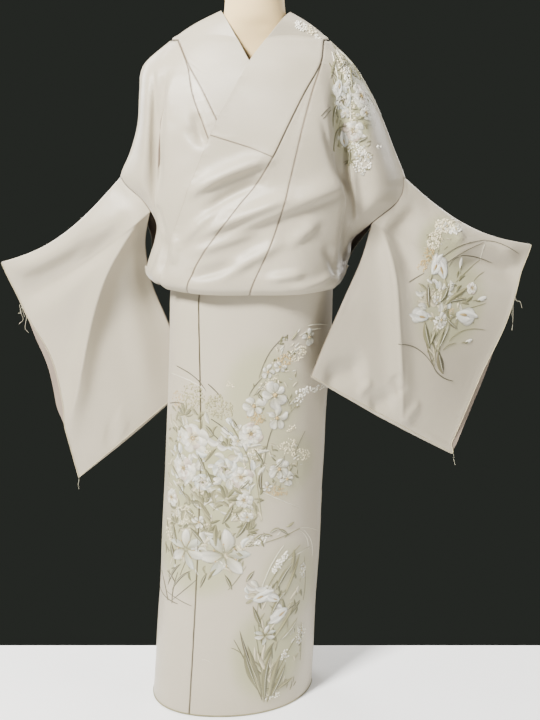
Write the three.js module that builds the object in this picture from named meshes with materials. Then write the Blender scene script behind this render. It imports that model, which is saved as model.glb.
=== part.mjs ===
// A homongi kimono dressed on a limbless dress form with a post and a round foot, in millimetres.
// +Z is up, the front of the garment faces -Y, and the wearer's left is on +X.
// Every cloth piece is a thin wall whose outer face lies on one shared draped surface.
import * as THREE from 'three';

// Cloth and seams
const wall = 1.2;
const seamGap = 0.3;
const seamSide = 0.22; // from a slanting seam's line to either cloth, measured level
const layRise = 2.0; // outer face of a piece above the outer face of the cloth that it lies on
const underDepth = 5.2; // how far the wrapped-under right front lies inside the left front

// The origin, the middle of the whole outline on the floor, seen from the centre line of the form
const originX = 20.5;
const originY = -7;

// Draped upper half: one row for each height from the shoulders to the fold that hangs over the waist.
// front and back are the depths on the centre line, and backZ is the row's height at the middle of the back.
const middleRows = [
  { z: 1352, front: 52, back: 124, backZ: 1278 },
  { z: 1310, front: 82, back: 127, backZ: 1258 },
  { z: 1260, front: 102, back: 127, backZ: 1230 },
  { z: 1200, front: 118, back: 122, backZ: 1190 },
  { z: 1150, front: 124, back: 118, backZ: 1146 },
  { z: 1100, front: 127, back: 115, backZ: 1099 },
  { z: 1060, front: 129, back: 113, backZ: 1060 },
  { z: 1020, front: 131, back: 113, backZ: 1020 },
  { z: 985, front: 134, back: 116, backZ: 985 },
  { z: 955, front: 139, back: 122, backZ: 955 },
  { z: 930, front: 144, back: 130, backZ: 930 },
  { z: 912, front: 143, back: 130, backZ: 912 },
  { z: 898, front: 132, back: 120, backZ: 900 },
];
// Wearer's left: the crest beside the chest, the hollow behind it, the wing towards the sleeve, and the
// edges of the front and of the back, which part under the arm
const leftRows = [
  { crestX: 70, crestY: -44, hollowX: 98, hollowY: -34, wingX: 121, wingY: -20, edgeX: 139, edgeY: 2, rearX: 139, rearY: 8 },
  { crestX: 106, crestY: -66, hollowX: 135, hollowY: -50, wingX: 163, wingY: -29, edgeX: 184, edgeY: 4, rearX: 184, rearY: 10 },
  { crestX: 123, crestY: -85, hollowX: 150, hollowY: -60, wingX: 190, wingY: -38, edgeX: 217, edgeY: 8, rearX: 217, rearY: 14 },
  { crestX: 131, crestY: -97, hollowX: 154, hollowY: -58, wingX: 208, wingY: -44, edgeX: 246, edgeY: 10, rearX: 246, rearY: 16 },
  { crestX: 142, crestY: -97, hollowX: 160, hollowY: -52, wingX: 222, wingY: -44, edgeX: 266, edgeY: 12, rearX: 266, rearY: 20 },
  { crestX: 158, crestY: -94, hollowX: 169, hollowY: -48, wingX: 234, wingY: -40, edgeX: 287, edgeY: 14, rearX: 287, rearY: 24 },
  { crestX: 167, crestY: -89, hollowX: 175, hollowY: -44, wingX: 226, wingY: -42, edgeX: 276, edgeY: -6, rearX: 278, rearY: 44 },
  { crestX: 166, crestY: -84, hollowX: 175, hollowY: -42, wingX: 190, wingY: -36, edgeX: 226, edgeY: -22, rearX: 250, rearY: 58 },
  { crestX: 162, crestY: -82, hollowX: 172, hollowY: -44, wingX: 184, wingY: -26, edgeX: 192, edgeY: -4, rearX: 220, rearY: 58 },
  { crestX: 156, crestY: -82, hollowX: 169, hollowY: -46, wingX: 182, wingY: -20, edgeX: 188, edgeY: 8, rearX: 196, rearY: 44 },
  { crestX: 151, crestY: -86, hollowX: 166, hollowY: -52, wingX: 178, wingY: -22, edgeX: 181, edgeY: 8, rearX: 181, rearY: 18 },
  { crestX: 151, crestY: -86, hollowX: 164, hollowY: -54, wingX: 173, wingY: -24, edgeX: 175, edgeY: 6, rearX: 175, rearY: 14 },
  { crestX: 143, crestY: -79, hollowX: 155, hollowY: -50, wingX: 164, wingY: -22, edgeX: 166, edgeY: 6, rearX: 166, rearY: 14 },
];
// Wearer's right, with the same columns
const rightRows = [
  { crestX: -82, crestY: -42, hollowX: -110, hollowY: -31, wingX: -134, wingY: -18, edgeX: -152, edgeY: 2, rearX: -152, rearY: 8 },
  { crestX: -125, crestY: -66, hollowX: -152, hollowY: -53, wingX: -182, wingY: -32, edgeX: -202, edgeY: 4, rearX: -202, rearY: 10 },
  { crestX: -156, crestY: -78, hollowX: -172, hollowY: -58, wingX: -198, wingY: -40, edgeX: -213, edgeY: 8, rearX: -213, rearY: 14 },
  { crestX: -176, crestY: -80, hollowX: -182, hollowY: -54, wingX: -203, wingY: -42, edgeX: -219, edgeY: 10, rearX: -219, rearY: 16 },
  { crestX: -182, crestY: -78, hollowX: -185, hollowY: -50, wingX: -208, wingY: -42, edgeX: -235, edgeY: 12, rearX: -235, rearY: 19 },
  { crestX: -184, crestY: -76, hollowX: -186, hollowY: -46, wingX: -213, wingY: -40, edgeX: -255, edgeY: 13, rearX: -255, rearY: 23 },
  { crestX: -184, crestY: -74, hollowX: -186, hollowY: -44, wingX: -198, wingY: -34, edgeX: -212, edgeY: -14, rearX: -240, rearY: 42 },
  { crestX: -179, crestY: -72, hollowX: -182, hollowY: -42, wingX: -186, wingY: -29, edgeX: -190, edgeY: -14, rearX: -222, rearY: 54 },
  { crestX: -176, crestY: -74, hollowX: -182, hollowY: -46, wingX: -190, wingY: -26, edgeX: -194, edgeY: -4, rearX: -208, rearY: 50 },
  { crestX: -180, crestY: -78, hollowX: -192, hollowY: -50, wingX: -201, wingY: -24, edgeX: -204, edgeY: 2, rearX: -206, rearY: 36 },
  { crestX: -186, crestY: -80, hollowX: -202, hollowY: -52, wingX: -209, wingY: -24, edgeX: -211, edgeY: 4, rearX: -211, rearY: 15 },
  { crestX: -184, crestY: -78, hollowX: -200, hollowY: -50, wingX: -207, wingY: -22, edgeX: -209, edgeY: 4, rearX: -209, rearY: 14 },
  { crestX: -170, crestY: -72, hollowX: -186, hollowY: -48, wingX: -193, wingY: -20, edgeX: -194, edgeY: 4, rearX: -194, rearY: 13 },
];
const chestShare = 0.55; // where the flat of the chest ends, as a share of the crest's distance
const chestFlat = 0.965; // the depth there, as a share of the depth on the centre line
const openRows = [5, 10]; // rows between which front and back part under the arm

// Seams on the chest, as distances from the centre line: the loose edge of the left front, the collar's seam
// and the seam between overlap and front, and the same three on the right front, wrapped under
const seamRows = [
  { free: 22, collarSeam: 127, frontSeam: 129, underFree: -28, underCollarSeam: -137, underFrontSeam: -139 },
  { free: -10, collarSeam: 120, frontSeam: 122, underFree: -2, underCollarSeam: -117, underFrontSeam: -120 },
  { free: -38, collarSeam: 91, frontSeam: 105, underFree: 34, underCollarSeam: -88, underFrontSeam: -110 },
  { free: -71, collarSeam: 60, frontSeam: 88, underFree: 74, underCollarSeam: -58, underFrontSeam: -88 },
  { free: -93, collarSeam: 35, frontSeam: 76, underFree: 100, underCollarSeam: -34, underFrontSeam: -68 },
  { free: -114, collarSeam: 4, frontSeam: 64, underFree: 116, underCollarSeam: -8, underFrontSeam: -44 },
  { free: -130, collarSeam: -30, frontSeam: 53, underFree: 126, underCollarSeam: 18, underFrontSeam: -24 },
  { free: -146, collarSeam: -61, frontSeam: 41, underFree: 132, underCollarSeam: 40, underFrontSeam: -8 },
  { free: -158, collarSeam: -86, frontSeam: 28, underFree: 136, underCollarSeam: 56, underFrontSeam: 2 },
  { free: -169, collarSeam: -106, frontSeam: 14, underFree: 136, underCollarSeam: 66, underFrontSeam: 8 },
  { free: -177, collarSeam: -119, frontSeam: 2, underFree: 134, underCollarSeam: 70, underFrontSeam: 10 },
  { free: -176, collarSeam: -124, frontSeam: -5, underFree: 132, underCollarSeam: 70, underFrontSeam: 10 },
  { free: -163, collarSeam: -122, frontSeam: -8, underFree: 126, underCollarSeam: 68, underFrontSeam: 10 },
];
const overCollarEnd = { inner: 3.24, outer: 4.02 }; // rows where the over-collar ends, at its two edges

// Skirt: rings from the tie down to the floor. skew moves the front ridge off the ring's centre.
const skirtRows = [
  { z: 972, centre: -5, half: 148, front: 110, back: 104, skew: 0 },
  { z: 880, centre: -6, half: 160, front: 117, back: 113, skew: -2 },
  { z: 600, centre: -19, half: 162, front: 122, back: 119, skew: -8 },
  { z: 300, centre: -34, half: 166, front: 126, back: 123, skew: -16 },
  { z: 0, centre: -50, half: 172, front: 130, back: 127, skew: -27 },
];
const ringPower = 2.2;
// Skirt seams as angles from the front, positive to the wearer's left
const skirtSeams = [
  { z: 972, free: -98, overSeam: -35, underSeam: 8, underFree: 70 },
  { z: 880, free: -98, overSeam: -35, underSeam: 8, underFree: 70 },
  { z: 600, free: -97, overSeam: -27, underSeam: 8, underFree: 72 },
  { z: 300, free: -96, overSeam: -23, underSeam: 8, underFree: 74 },
  { z: 0, free: -96, overSeam: -20, underSeam: 8, underFree: 76 },
];
// The blouse's inner layer, from just inside the fold up to the tie, as rises above the skirt
const turnedRows = [
  { z: 916, rise: 5 },
  { z: 966, rise: 1.6 },
];

// Inner edge of the collar from the shoulder side of the chest round the neck to the middle of the back
const neckLeft = [
  { x: 50, y: -32, z: 1386 },
  { x: 66, y: 2, z: 1401 },
  { x: 62, y: 42, z: 1397 },
  { x: 38, y: 74, z: 1387 },
  { x: 0, y: 86, z: 1381 },
];
const neckRight = [
  { x: -47, y: -30, z: 1385 },
  { x: -59, y: 2, z: 1403 },
  { x: -57, y: 42, z: 1398 },
  { x: -36, y: 74, z: 1388 },
  { x: 0, y: 86, z: 1381 },
];
const collarCrown = 6; // how far the collar arches between its edges on the shoulder

// Free inner edges of the sleeves' front and back layers, from where they leave the body to the lower corner
const sleeveLeftInner = [
  { x: 226, y: -22, z: 1020, rearX: 250, rearY: 58, rearZ: 1020 },
  { x: 204, y: -60, z: 956, rearX: 218, rearY: -10, rearZ: 960 },
  { x: 168, y: -100, z: 884, rearX: 174, rearY: -82, rearZ: 884 },
  { x: 136, y: -112, z: 812, rearX: 138, rearY: -100, rearZ: 812 },
  { x: 108, y: -116, z: 740, rearX: 108, rearY: -110, rearZ: 740 },
];
const sleeveRightInner = [
  { x: -200, y: -15, z: 1040, rearX: -232, rearY: 52, rearZ: 1040 },
  { x: -218, y: 40, z: 968, rearX: -224, rearY: 76, rearZ: 968 },
  { x: -214, y: 90, z: 880, rearX: -216, rearY: 104, rearZ: 880 },
  { x: -180, y: 112, z: 776, rearX: -181, rearY: 122, rearZ: 776 },
  { x: -146, y: 122, z: 650, rearX: -146, rearY: 128, rearZ: 650 },
];
// Outer edges of the sleeves, from the upper corner to the lower one
const sleeveLeftOuter = [
  { x: 564, y: 100, z: 957 },
  { x: 526, y: 70, z: 842 },
  { x: 487, y: 40, z: 735 },
  { x: 446, y: 14, z: 638 },
  { x: 405, y: -10, z: 543 },
];
const sleeveRightOuter = [
  { x: -524, y: 100, z: 920 },
  { x: -478, y: 98, z: 806 },
  { x: -436, y: 98, z: 704 },
  { x: -416, y: 99, z: 580 },
  { x: -390, y: 100, z: 445 },
];
// Folds in the sleeves, from one point to another as shares across and down, with their width and height
const sleeveLeftFolds = [
  { fromU: 0.02, fromW: 0.16, toU: 0.42, toW: 0.8, width: 0.05, height: 9 },
  { fromU: 0.25, fromW: 0.06, toU: 0.98, toW: 0.02, width: 0.08, height: 10 },
  { fromU: 0.5, fromW: 0.14, toU: 1.0, toW: 0.1, width: 0.07, height: -9 },
  { fromU: 0.25, fromW: 0.98, toU: 0.5, toW: 0.6, width: 0.09, height: -10 },
];
const sleeveRightFolds = [
  { fromU: 0.02, fromW: 0.12, toU: 0.86, toW: 0.78, width: 0.06, height: 14 },
  { fromU: 0.1, fromW: 0.04, toU: 0.98, toW: 0.03, width: 0.07, height: 10 },
  { fromU: 0.3, fromW: 0.14, toU: 0.98, toW: 0.12, width: 0.07, height: -12 },
  { fromU: 0.04, fromW: 0.2, toU: 0.3, toW: 0.95, width: 0.09, height: 12 },
];
const leftSleeve = {
  side: 1, joinEnd: 7, joinShare: 0.2, inner: sleeveLeftInner, outer: sleeveLeftOuter, folds: sleeveLeftFolds,
};
const rightSleeve = {
  side: -1, joinEnd: 6.5, joinShare: 0.16, inner: sleeveRightInner, outer: sleeveRightOuter, folds: sleeveRightFolds,
};
const sleeveSag = 30; // how far the top edge of a sleeve hangs below a straight line
const sleeveRim = 4; // the distance between a sleeve's two layers at its edges
const sleeveBelly = 22; // and what is added to it in the middle
const cuffBelly = 8; // and at the middle of the outer edge
const sleeveSetOff = 0.6; // between a sleeve and the body's edge

// Dress form, post and foot
const formRows = [
  { z: 800, half: 108, front: 74, back: 72, y: 0 },
  { z: 830, half: 124, front: 84, back: 84, y: 0 },
  { z: 900, half: 132, front: 90, back: 90, y: 0 },
  { z: 990, half: 124, front: 86, back: 78, y: 0 },
  { z: 1080, half: 134, front: 100, back: 78, y: 0 },
  { z: 1160, half: 146, front: 104, back: 86, y: 0 },
  { z: 1230, half: 158, front: 84, back: 96, y: 4 },
  { z: 1280, half: 164, front: 62, back: 90, y: 8 },
  { z: 1312, half: 154, front: 48, back: 68, y: 10 },
  { z: 1336, half: 136, front: 44, back: 50, y: 10 },
  { z: 1356, half: 106, front: 42, back: 46, y: 8 },
  { z: 1376, half: 72, front: 44, back: 46, y: 6 },
  { z: 1396, half: 58, front: 48, back: 46, y: 4 },
  { z: 1430, half: 54, front: 50, back: 48, y: 4 },
  { z: 1468, half: 54, front: 52, back: 50, y: 2 },
  { z: 1482, half: 49, front: 47, back: 45, y: 2 },
  { z: 1488, half: 36, front: 34, back: 33, y: 2 },
];
const formSides = 32;
const formCap = 3;
const formX = 2;
const postRadius = 14;
const footRadius = 82;
const footX = -20; // the foot stands under the middle of the skirt
const footHeight = 16;
const footEdge = 5;

// Steps of the grids
const frontSteps = 13;
const backSteps = 8;
const stripSteps = 5;
const skirtStep = 15; // degrees
const skirtSeamHalf = 0.06; // degrees, half of a seam
const sleeveAcross = 12;
const sleeveDown = 14;

const degrees = Math.PI / 180;
const lastRow = middleRows.length - 1;
const tieRow = lastRow + turnedRows.length;

// Catmull-Rom value of one column of a table at row position t
function column(rows, key, t) {
  const last = rows.length - 1;
  const i = Math.min(Math.max(Math.floor(t), 0), last - 1);
  const f = t - i;
  const p1 = rows[i][key];
  const p2 = rows[i + 1][key];
  const p0 = i > 0 ? rows[i - 1][key] : 2 * p1 - p2;
  const p3 = i < last - 1 ? rows[i + 2][key] : 2 * p2 - p1;
  const bend = 2 * p0 - 5 * p1 + 4 * p2 - p3 + f * (3 * (p1 - p2) + p3 - p0);
  return p1 + 0.5 * f * (p2 - p0 + f * bend);
}

function rowAt(rows, z) {
  let i = 0;
  while (i < rows.length - 2 && z < rows[i + 1].z) i += 1;
  return i + (rows[i].z - z) / (rows[i].z - rows[i + 1].z);
}

function pointOf(rows, t, keys = ['x', 'y', 'z']) {
  return new THREE.Vector3(...keys.map((key) => column(rows, key, t)));
}

function steps(from, to, count) {
  return Array.from({ length: count + 1 }, (_, i) => from + (to - from) * i / count);
}

function smooth(from, to, value) {
  const f = Math.min(Math.max((value - from) / (to - from), 0), 1);
  return f * f * (3 - 2 * f);
}

// A point of the skirt's outer face. rise moves it outwards.
function skirtPoint(angle, z, rise = 0) {
  const t = rowAt(skirtRows, z);
  const at = (key) => column(skirtRows, key, t);
  const s = Math.sin(angle * degrees);
  const c = Math.cos(angle * degrees);
  const depth = (c > 0 ? at('front') : at('back')) + rise;
  const x = at('centre') + at('skew') * Math.max(c, 0) + Math.sign(s) * (at('half') + rise) * Math.abs(s) ** (2 / ringPower);
  const y = -Math.sign(c) * depth * Math.abs(c) ** (2 / ringPower);
  return new THREE.Vector3(x, y, z);
}

// The eleven stations of a row of the upper half, from the right edge over the middle to the left edge
const stationAngles = [-91, -77, -65, -50, -26, 0, 26, 50, 65, 77, 89];
const endStation = 10;

function tableStations(t) {
  const middle = (key) => column(middleRows, key, t);
  const side = (rows) => {
    const at = (key) => column(rows, key, t);
    return [
      [chestShare * at('crestX'), -chestFlat * middle('front')],
      [at('crestX'), at('crestY')],
      [at('hollowX'), at('hollowY')],
      [at('wingX'), at('wingY')],
      [at('edgeX'), at('edgeY')],
    ];
  };
  const points = [...side(rightRows).reverse(), [0, -middle('front')], ...side(leftRows)];
  return points.map(([x, y]) => new THREE.Vector3(x, y, middle('z')));
}

function turnedPoint(angle, from, t) {
  const [inside, tie] = turnedRows;
  const low = skirtPoint(angle, inside.z, inside.rise);
  if (t <= lastRow + 1) return from.clone().lerp(low, t - lastRow);
  return low.lerp(skirtPoint(angle, tie.z, tie.rise), t - lastRow - 1);
}

function stations(t) {
  if (t <= lastRow) return tableStations(t);
  return tableStations(lastRow).map((p, i) => turnedPoint(stationAngles[i], p, t));
}

// Front of the upper half. q counts stations and t counts rows.
function frontPoint(q, t) {
  return pointOf(stations(t), q);
}

// Back of the upper half. u runs from the side to the middle.
function backPoint(side, u, t) {
  const row = Math.min(t, lastRow);
  const rows = side > 0 ? leftRows : rightRows;
  const middle = (key) => column(middleRows, key, row);
  const turn = u * Math.PI / 2;
  const rearY = column(rows, 'rearY', row);
  const x = column(rows, 'rearX', row) * Math.max(Math.cos(turn), 0) ** 0.9 + side * seamGap / 2;
  const y = rearY + (middle('back') - rearY) * Math.sin(turn) ** 0.9;
  const z = middle('z') + (middle('backZ') - middle('z')) * Math.sin(turn) ** 1.5;
  const point = new THREE.Vector3(x, y, z);
  return t > lastRow ? turnedPoint(side * (92 + 87.9 * u), point, t) : point;
}

function frontNormal(q, t) {
  const step = 0.01;
  const sideways = frontPoint(Math.min(q + step, endStation), t).sub(frontPoint(Math.max(q - step, 0), t));
  const downwards = frontPoint(q, Math.min(t + step, tieRow)).sub(frontPoint(q, Math.max(t - step, 0)));
  return downwards.cross(sideways).normalize();
}

// The station at which a row reaches a distance from the centre line
function stationAt(x, t) {
  const points = stations(t);
  let low = 0;
  let high = endStation;
  for (let n = 0; n < 40; n += 1) {
    const middle = (low + high) / 2;
    if (column(points, 'x', middle) < x) low = middle;
    else high = middle;
  }
  return (low + high) / 2;
}

function seamStation(key, t, shift = 0) {
  const row = Math.min(t, lastRow);
  return stationAt(column(seamRows, key, row) + shift, row);
}

// One closed wall between two grids of points. kept says which quads are cloth.
function wallSolid(outer, inner, kept = () => true, round = false) {
  const columns = outer[0].length;
  const across = round ? columns : columns - 1;
  const skip = outer.length * columns;
  const faces = [];
  const id = (i, j) => i * columns + (j % columns);
  const has = (i, j) => {
    const k = round ? (j + columns) % columns : j;
    return i >= 0 && i < outer.length - 1 && k >= 0 && k < across && kept(i, k);
  };
  const quad = (a, b, c, d) => faces.push(a, b, c, a, c, d);
  for (let i = 0; i < outer.length - 1; i += 1) {
    for (let j = 0; j < across; j += 1) {
      if (!has(i, j)) continue;
      const [a, b, c, d] = [id(i, j), id(i + 1, j), id(i + 1, j + 1), id(i, j + 1)];
      quad(a, b, c, d);
      quad(skip + a, skip + d, skip + c, skip + b);
      if (!has(i - 1, j)) quad(a, d, skip + d, skip + a);
      if (!has(i + 1, j)) quad(c, b, skip + b, skip + c);
      if (!has(i, j - 1)) quad(b, a, skip + a, skip + b);
      if (!has(i, j + 1)) quad(d, c, skip + c, skip + d);
    }
  }
  const used = [...new Set(faces)].sort((a, b) => a - b);
  const place = new Map(used.map((old, i) => [old, i]));
  const points = [...outer.flat(), ...inner.flat()];
  const geometry = new THREE.BufferGeometry();
  geometry.setAttribute('position', new THREE.Float32BufferAttribute(used.flatMap((i) => points[i].toArray()), 3));
  geometry.setIndex(faces.map((i) => place.get(i)));
  return geometry;
}

// Outer and inner points of a surface(s, t), set in by depth(s, t) along the surface's own normal
function wallGrid(surface, across, down, depth = () => 0) {
  const step = 0.01;
  const clamp = (value, list) => Math.min(Math.max(value, list[0]), list.at(-1));
  const outer = [];
  const inner = [];
  down.forEach((t) => {
    const rowOut = [];
    const rowIn = [];
    across.forEach((s) => {
      const sideways = surface(clamp(s + step, across), t).sub(surface(clamp(s - step, across), t));
      const downwards = surface(s, clamp(t + step, down)).sub(surface(s, clamp(t - step, down)));
      const normal = downwards.cross(sideways).normalize();
      const point = surface(s, t).addScaledVector(normal, -depth(s, t));
      rowOut.push(point);
      rowIn.push(point.clone().addScaledVector(normal, -wall));
    });
    outer.push(rowOut);
    inner.push(rowIn);
  });
  return { outer, inner };
}

// The same for a part of the front, given by its station(s, t)
function frontGrid(station, across, down, depth = () => 0) {
  const outer = down.map((t) => across.map((s) => {
    const q = station(s, t);
    return frontPoint(q, t).addScaledVector(frontNormal(q, t), -depth(s, t));
  }));
  const inner = down.map((t, i) => across.map((s, j) => (
    outer[i][j].clone().addScaledVector(frontNormal(station(s, t), t), -wall)
  )));
  return { outer, inner };
}

function beside(first, second) {
  return first.map((row, i) => [...row, ...second[i]]);
}

const upperRows = [...steps(0, 10, 20), 10.5, 11, 11.4, 11.7, 12, 12.3, 12.65, 13, 13.5, 14];
const underRows = upperRows.filter((t) => t <= 11.4);

function underShare(t) {
  return smooth(0, 1, t);
}

// Front and back of one side in one piece of cloth, parted under the arm
function bodyLeft() {
  const station = (s, t) => {
    const seam = seamStation('frontSeam', t, seamSide);
    return seam + (endStation - seam) * s;
  };
  const front = frontGrid(station, steps(0, 1, frontSteps), upperRows);
  const back = wallGrid((s, t) => backPoint(1, s, t), steps(0, 1, backSteps), upperRows);
  const kept = (i, j) => j !== frontSteps || upperRows[i] < openRows[0] || upperRows[i] >= openRows[1];
  return wallSolid(beside(front.outer, back.outer), beside(front.inner, back.inner), kept);
}

function bodyRight() {
  const station = (s, t) => seamStation('underFrontSeam', t, -seamSide) * s;
  const depth = (s, t) => underDepth * smooth(0.1, 0.42, s) * underShare(t);
  const back = wallGrid((s, t) => backPoint(-1, 1 - s, t), steps(0, 1, backSteps), upperRows);
  const front = frontGrid(station, steps(0, 1, frontSteps), upperRows, depth);
  const wrapped = backSteps + 1 + Math.ceil(0.45 * frontSteps);
  const kept = (i, j) => {
    if (j === backSteps) return upperRows[i] < openRows[0] || upperRows[i] >= openRows[1];
    return j < wrapped || upperRows[i + 1] <= underRows.at(-1);
  };
  return wallSolid(beside(back.outer, front.outer), beside(back.inner, front.inner), kept);
}

function overlapUpper(fromKey, toKey, rows, depth) {
  const station = (s, t) => {
    const low = seamStation(fromKey, t, seamSide);
    const high = seamStation(toKey, t, -seamSide);
    return low + (high - low) * s;
  };
  const made = frontGrid(station, steps(0, 1, stripSteps), rows.filter((t) => t >= 1), () => depth);
  return wallSolid(made.outer, made.inner);
}

const skirtHeights = [972, 940, 900, 850, 780, 700, 600, 500, 400, 300, 200, 100, 0];

// A skirt panel between two seams, given by name or as an angle
function skirtPanel(fromSeam, toSeam, depth = () => 0) {
  const seamAngle = (seam, z) => (typeof seam === 'number' ? seam : column(skirtSeams, seam, rowAt(skirtSeams, z)));
  const face = (s, t) => {
    const z = skirtHeights[0] - t;
    const low = seamAngle(fromSeam, z) + skirtSeamHalf;
    const high = seamAngle(toSeam, z) - skirtSeamHalf;
    return skirtPoint(low + (high - low) * s, z);
  };
  const count = Math.round((seamAngle(toSeam, 0) - seamAngle(fromSeam, 0)) / skirtStep);
  const made = wallGrid(face, steps(0, 1, count), skirtHeights.map((z) => skirtHeights[0] - z), depth);
  [made.outer, made.inner].forEach((grid) => grid.at(-1).forEach((p) => p.setZ(0)));
  return wallSolid(made.outer, made.inner);
}

// Rows of the collar, each from its seam to its inner edge: up the left of the chest, round the neck and down
// the right of the chest
function chestRow(t, seamKey, freeKey, sign) {
  const row = Math.min(t, lastRow);
  const seam = seamStation(seamKey, row, -sign * seamSide);
  const free = seamStation(freeKey, row);
  const across = steps(seam, free, stripSteps);
  const points = across.map((q) => frontPoint(q, t));
  const normals = across.map((q) => frontNormal(q, t));
  return { t, points, normals, depth: sign > 0 ? 0 : underDepth * underShare(t) };
}

function neckRows(side, seamKey, freeKey, neckTable) {
  const seam = seamStation(seamKey, 0, -side * seamSide);
  const end = side > 0 ? endStation : 0;
  const frontPart = steps(seam, end, 3).slice(1).map((q) => frontPoint(q, 0));
  const backPart = steps(0, 1, backSteps).map((u) => backPoint(side, u, 0));
  const outerPath = [...frontPart, ...backPart];
  const free = frontPoint(seamStation(freeKey, 0), 0);
  const neck = [{ x: free.x, y: free.y, z: free.z }, ...neckTable];
  return outerPath.map((edge, i) => {
    const inner = pointOf(neck, (i + 1) / outerPath.length * (neck.length - 1));
    const start = edge.clone().lerp(inner, 0.012);
    const points = steps(0, 1, stripSteps).map((s) => {
      const point = start.clone().lerp(inner, s);
      return point.setZ(point.z + collarCrown * Math.sin(Math.PI * s));
    });
    return { t: -1, points, depth: 0 };
  });
}

function collarRows() {
  const leftChest = [...upperRows].reverse().map((t) => chestRow(t, 'collarSeam', 'free', 1));
  const leftNeck = neckRows(1, 'collarSeam', 'free', neckLeft);
  const rightNeck = neckRows(-1, 'underCollarSeam', 'underFree', neckRight).reverse().slice(1);
  const rightChest = underRows.map((t) => chestRow(t, 'underCollarSeam', 'underFree', -1));
  const rows = [...leftChest, ...leftNeck, ...rightNeck, ...rightChest];
  const normals = gridNormals(rows.map((row) => row.points));
  return rows.map((row, i) => ({ ...row, normals: row.t > 0 ? row.normals : normals[i] }));
}

// Normals of a grid of points from its neighbours, outwards where down × across is outwards
function gridNormals(rows, round = false) {
  const near = (row, j) => (round ? row[(j + row.length) % row.length] : row[Math.min(Math.max(j, 0), row.length - 1)]);
  return rows.map((row, i) => row.map((_, j) => {
    const along = rows[Math.min(i + 1, rows.length - 1)][j].clone().sub(rows[Math.max(i - 1, 0)][j]);
    return along.cross(near(row, j + 1).clone().sub(near(row, j - 1))).normalize();
  }));
}

function movedGrid(points, normals, distance) {
  return points.map((row, i) => row.map((p, j) => p.clone().addScaledVector(normals[i][j], distance(i, j))));
}

function stripSolid(rows, rise) {
  const points = rows.map((row) => row.points);
  const normals = rows.map((row) => row.normals);
  const outer = movedGrid(points, normals, (i) => rise - rows[i].depth);
  return wallSolid(outer, movedGrid(outer, normals, () => -wall));
}

function collar() {
  return stripSolid(collarRows(), 0);
}

// The over-collar lies on the collar's upper part and ends in a slant on the chest
function overCollar() {
  const rows = collarRows();
  const first = rows.findIndex((row) => row.t >= 0 && row.t < overCollarEnd.inner);
  const last = rows.findLastIndex((row) => row.t <= overCollarEnd.outer);
  const slantRow = (share) => {
    const cells = steps(0, 1, stripSteps).map((s) => {
      const end = overCollarEnd.outer + (overCollarEnd.inner - overCollarEnd.outer) * s;
      const t = end + (rows[first].t - end) * share;
      const seam = seamStation('collarSeam', t, -seamSide);
      return { t, q: seam + (seamStation('free', t) - seam) * s };
    });
    const points = cells.map(({ q, t }) => frontPoint(q, t));
    return { points, normals: cells.map(({ q, t }) => frontNormal(q, t)), depth: 0 };
  };
  return stripSolid([slantRow(0), slantRow(0.5), ...rows.slice(first, last + 1)], layRise);
}

// Height of the folds at a share u across and w down a sleeve
function foldHeight(folds, u, w) {
  return folds.reduce((sum, fold) => {
    const du = fold.toU - fold.fromU;
    const dw = fold.toW - fold.fromW;
    const along = ((u - fold.fromU) * du + (w - fold.fromW) * dw) / (du * du + dw * dw);
    const nearest = Math.min(Math.max(along, 0), 1);
    const far = Math.hypot(u - fold.fromU - du * nearest, w - fold.fromW - dw * nearest);
    const fade = smooth(-0.15, 0.25, along) * smooth(-0.15, 0.25, 1 - along);
    return sum + fold.height * fade * Math.exp(-((far / fold.width) ** 2));
  }, 0);
}

// A sleeve is a flat tube, open at the body and at the cuff
function sleeve({ side, joinEnd, joinShare, inner, outer, folds }) {
  const joinCount = Math.round((joinEnd - openRows[0]) * 2);
  const downShares = [...steps(0, joinShare, joinCount), ...steps(joinShare, 1, sleeveDown - joinCount).slice(1)];
  const outAt = (w) => pointOf(outer, w * (outer.length - 1));
  const across = outAt(0).sub(outAt(1)).cross(outAt(0).sub(pointOf(inner, inner.length - 1)));
  const front = across.multiplyScalar(across.y > 0 ? -1 : 1).normalize();
  const innerAt = (w, rear) => {
    if (w <= joinShare) {
      const t = openRows[0] + (joinEnd - openRows[0]) * w / joinShare;
      const edge = rear ? backPoint(side, 0, t) : frontPoint(side > 0 ? endStation : 0, t);
      return edge.add(new THREE.Vector3(side * sleeveSetOff, 0, -sleeveSetOff));
    }
    const keys = rear ? ['rearX', 'rearY', 'rearZ'] : ['x', 'y', 'z'];
    return pointOf(inner, (w - joinShare) / (1 - joinShare) * (inner.length - 1), keys);
  };
  const layerPoint = (u, w, rear) => {
    const way = rear ? -1 : 1;
    const start = innerAt(w, rear);
    const end = outAt(w).addScaledVector(front, way * sleeveRim / 2);
    const point = start.lerp(end, u);
    const fall = Math.max(1 - w / 0.5, 0) ** 2;
    point.z -= sleeveSag * Math.sin(Math.PI * u) * fall;
    const open = Math.sin(Math.PI * w) ** 0.8;
    const belly = (sleeveBelly * Math.sin(Math.PI * Math.min(u, 0.98)) + cuffBelly * u) * open / 2;
    const fold = foldHeight(folds, u, w) * smooth(0, 0.12, u);
    return point.addScaledVector(front, way * belly + fold);
  };
  const rings = steps(0, 1, sleeveAcross).map((share) => {
    const u = side > 0 ? 1 - share : share;
    const frontLayer = downShares.map((w) => layerPoint(u, w, false));
    const backLayer = [...downShares].reverse().map((w) => layerPoint(u, w, true));
    return [...frontLayer, ...backLayer];
  });
  const normals = gridNormals(rings, true);
  return wallSolid(rings, movedGrid(rings, normals, () => -wall), () => true, true);
}

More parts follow.
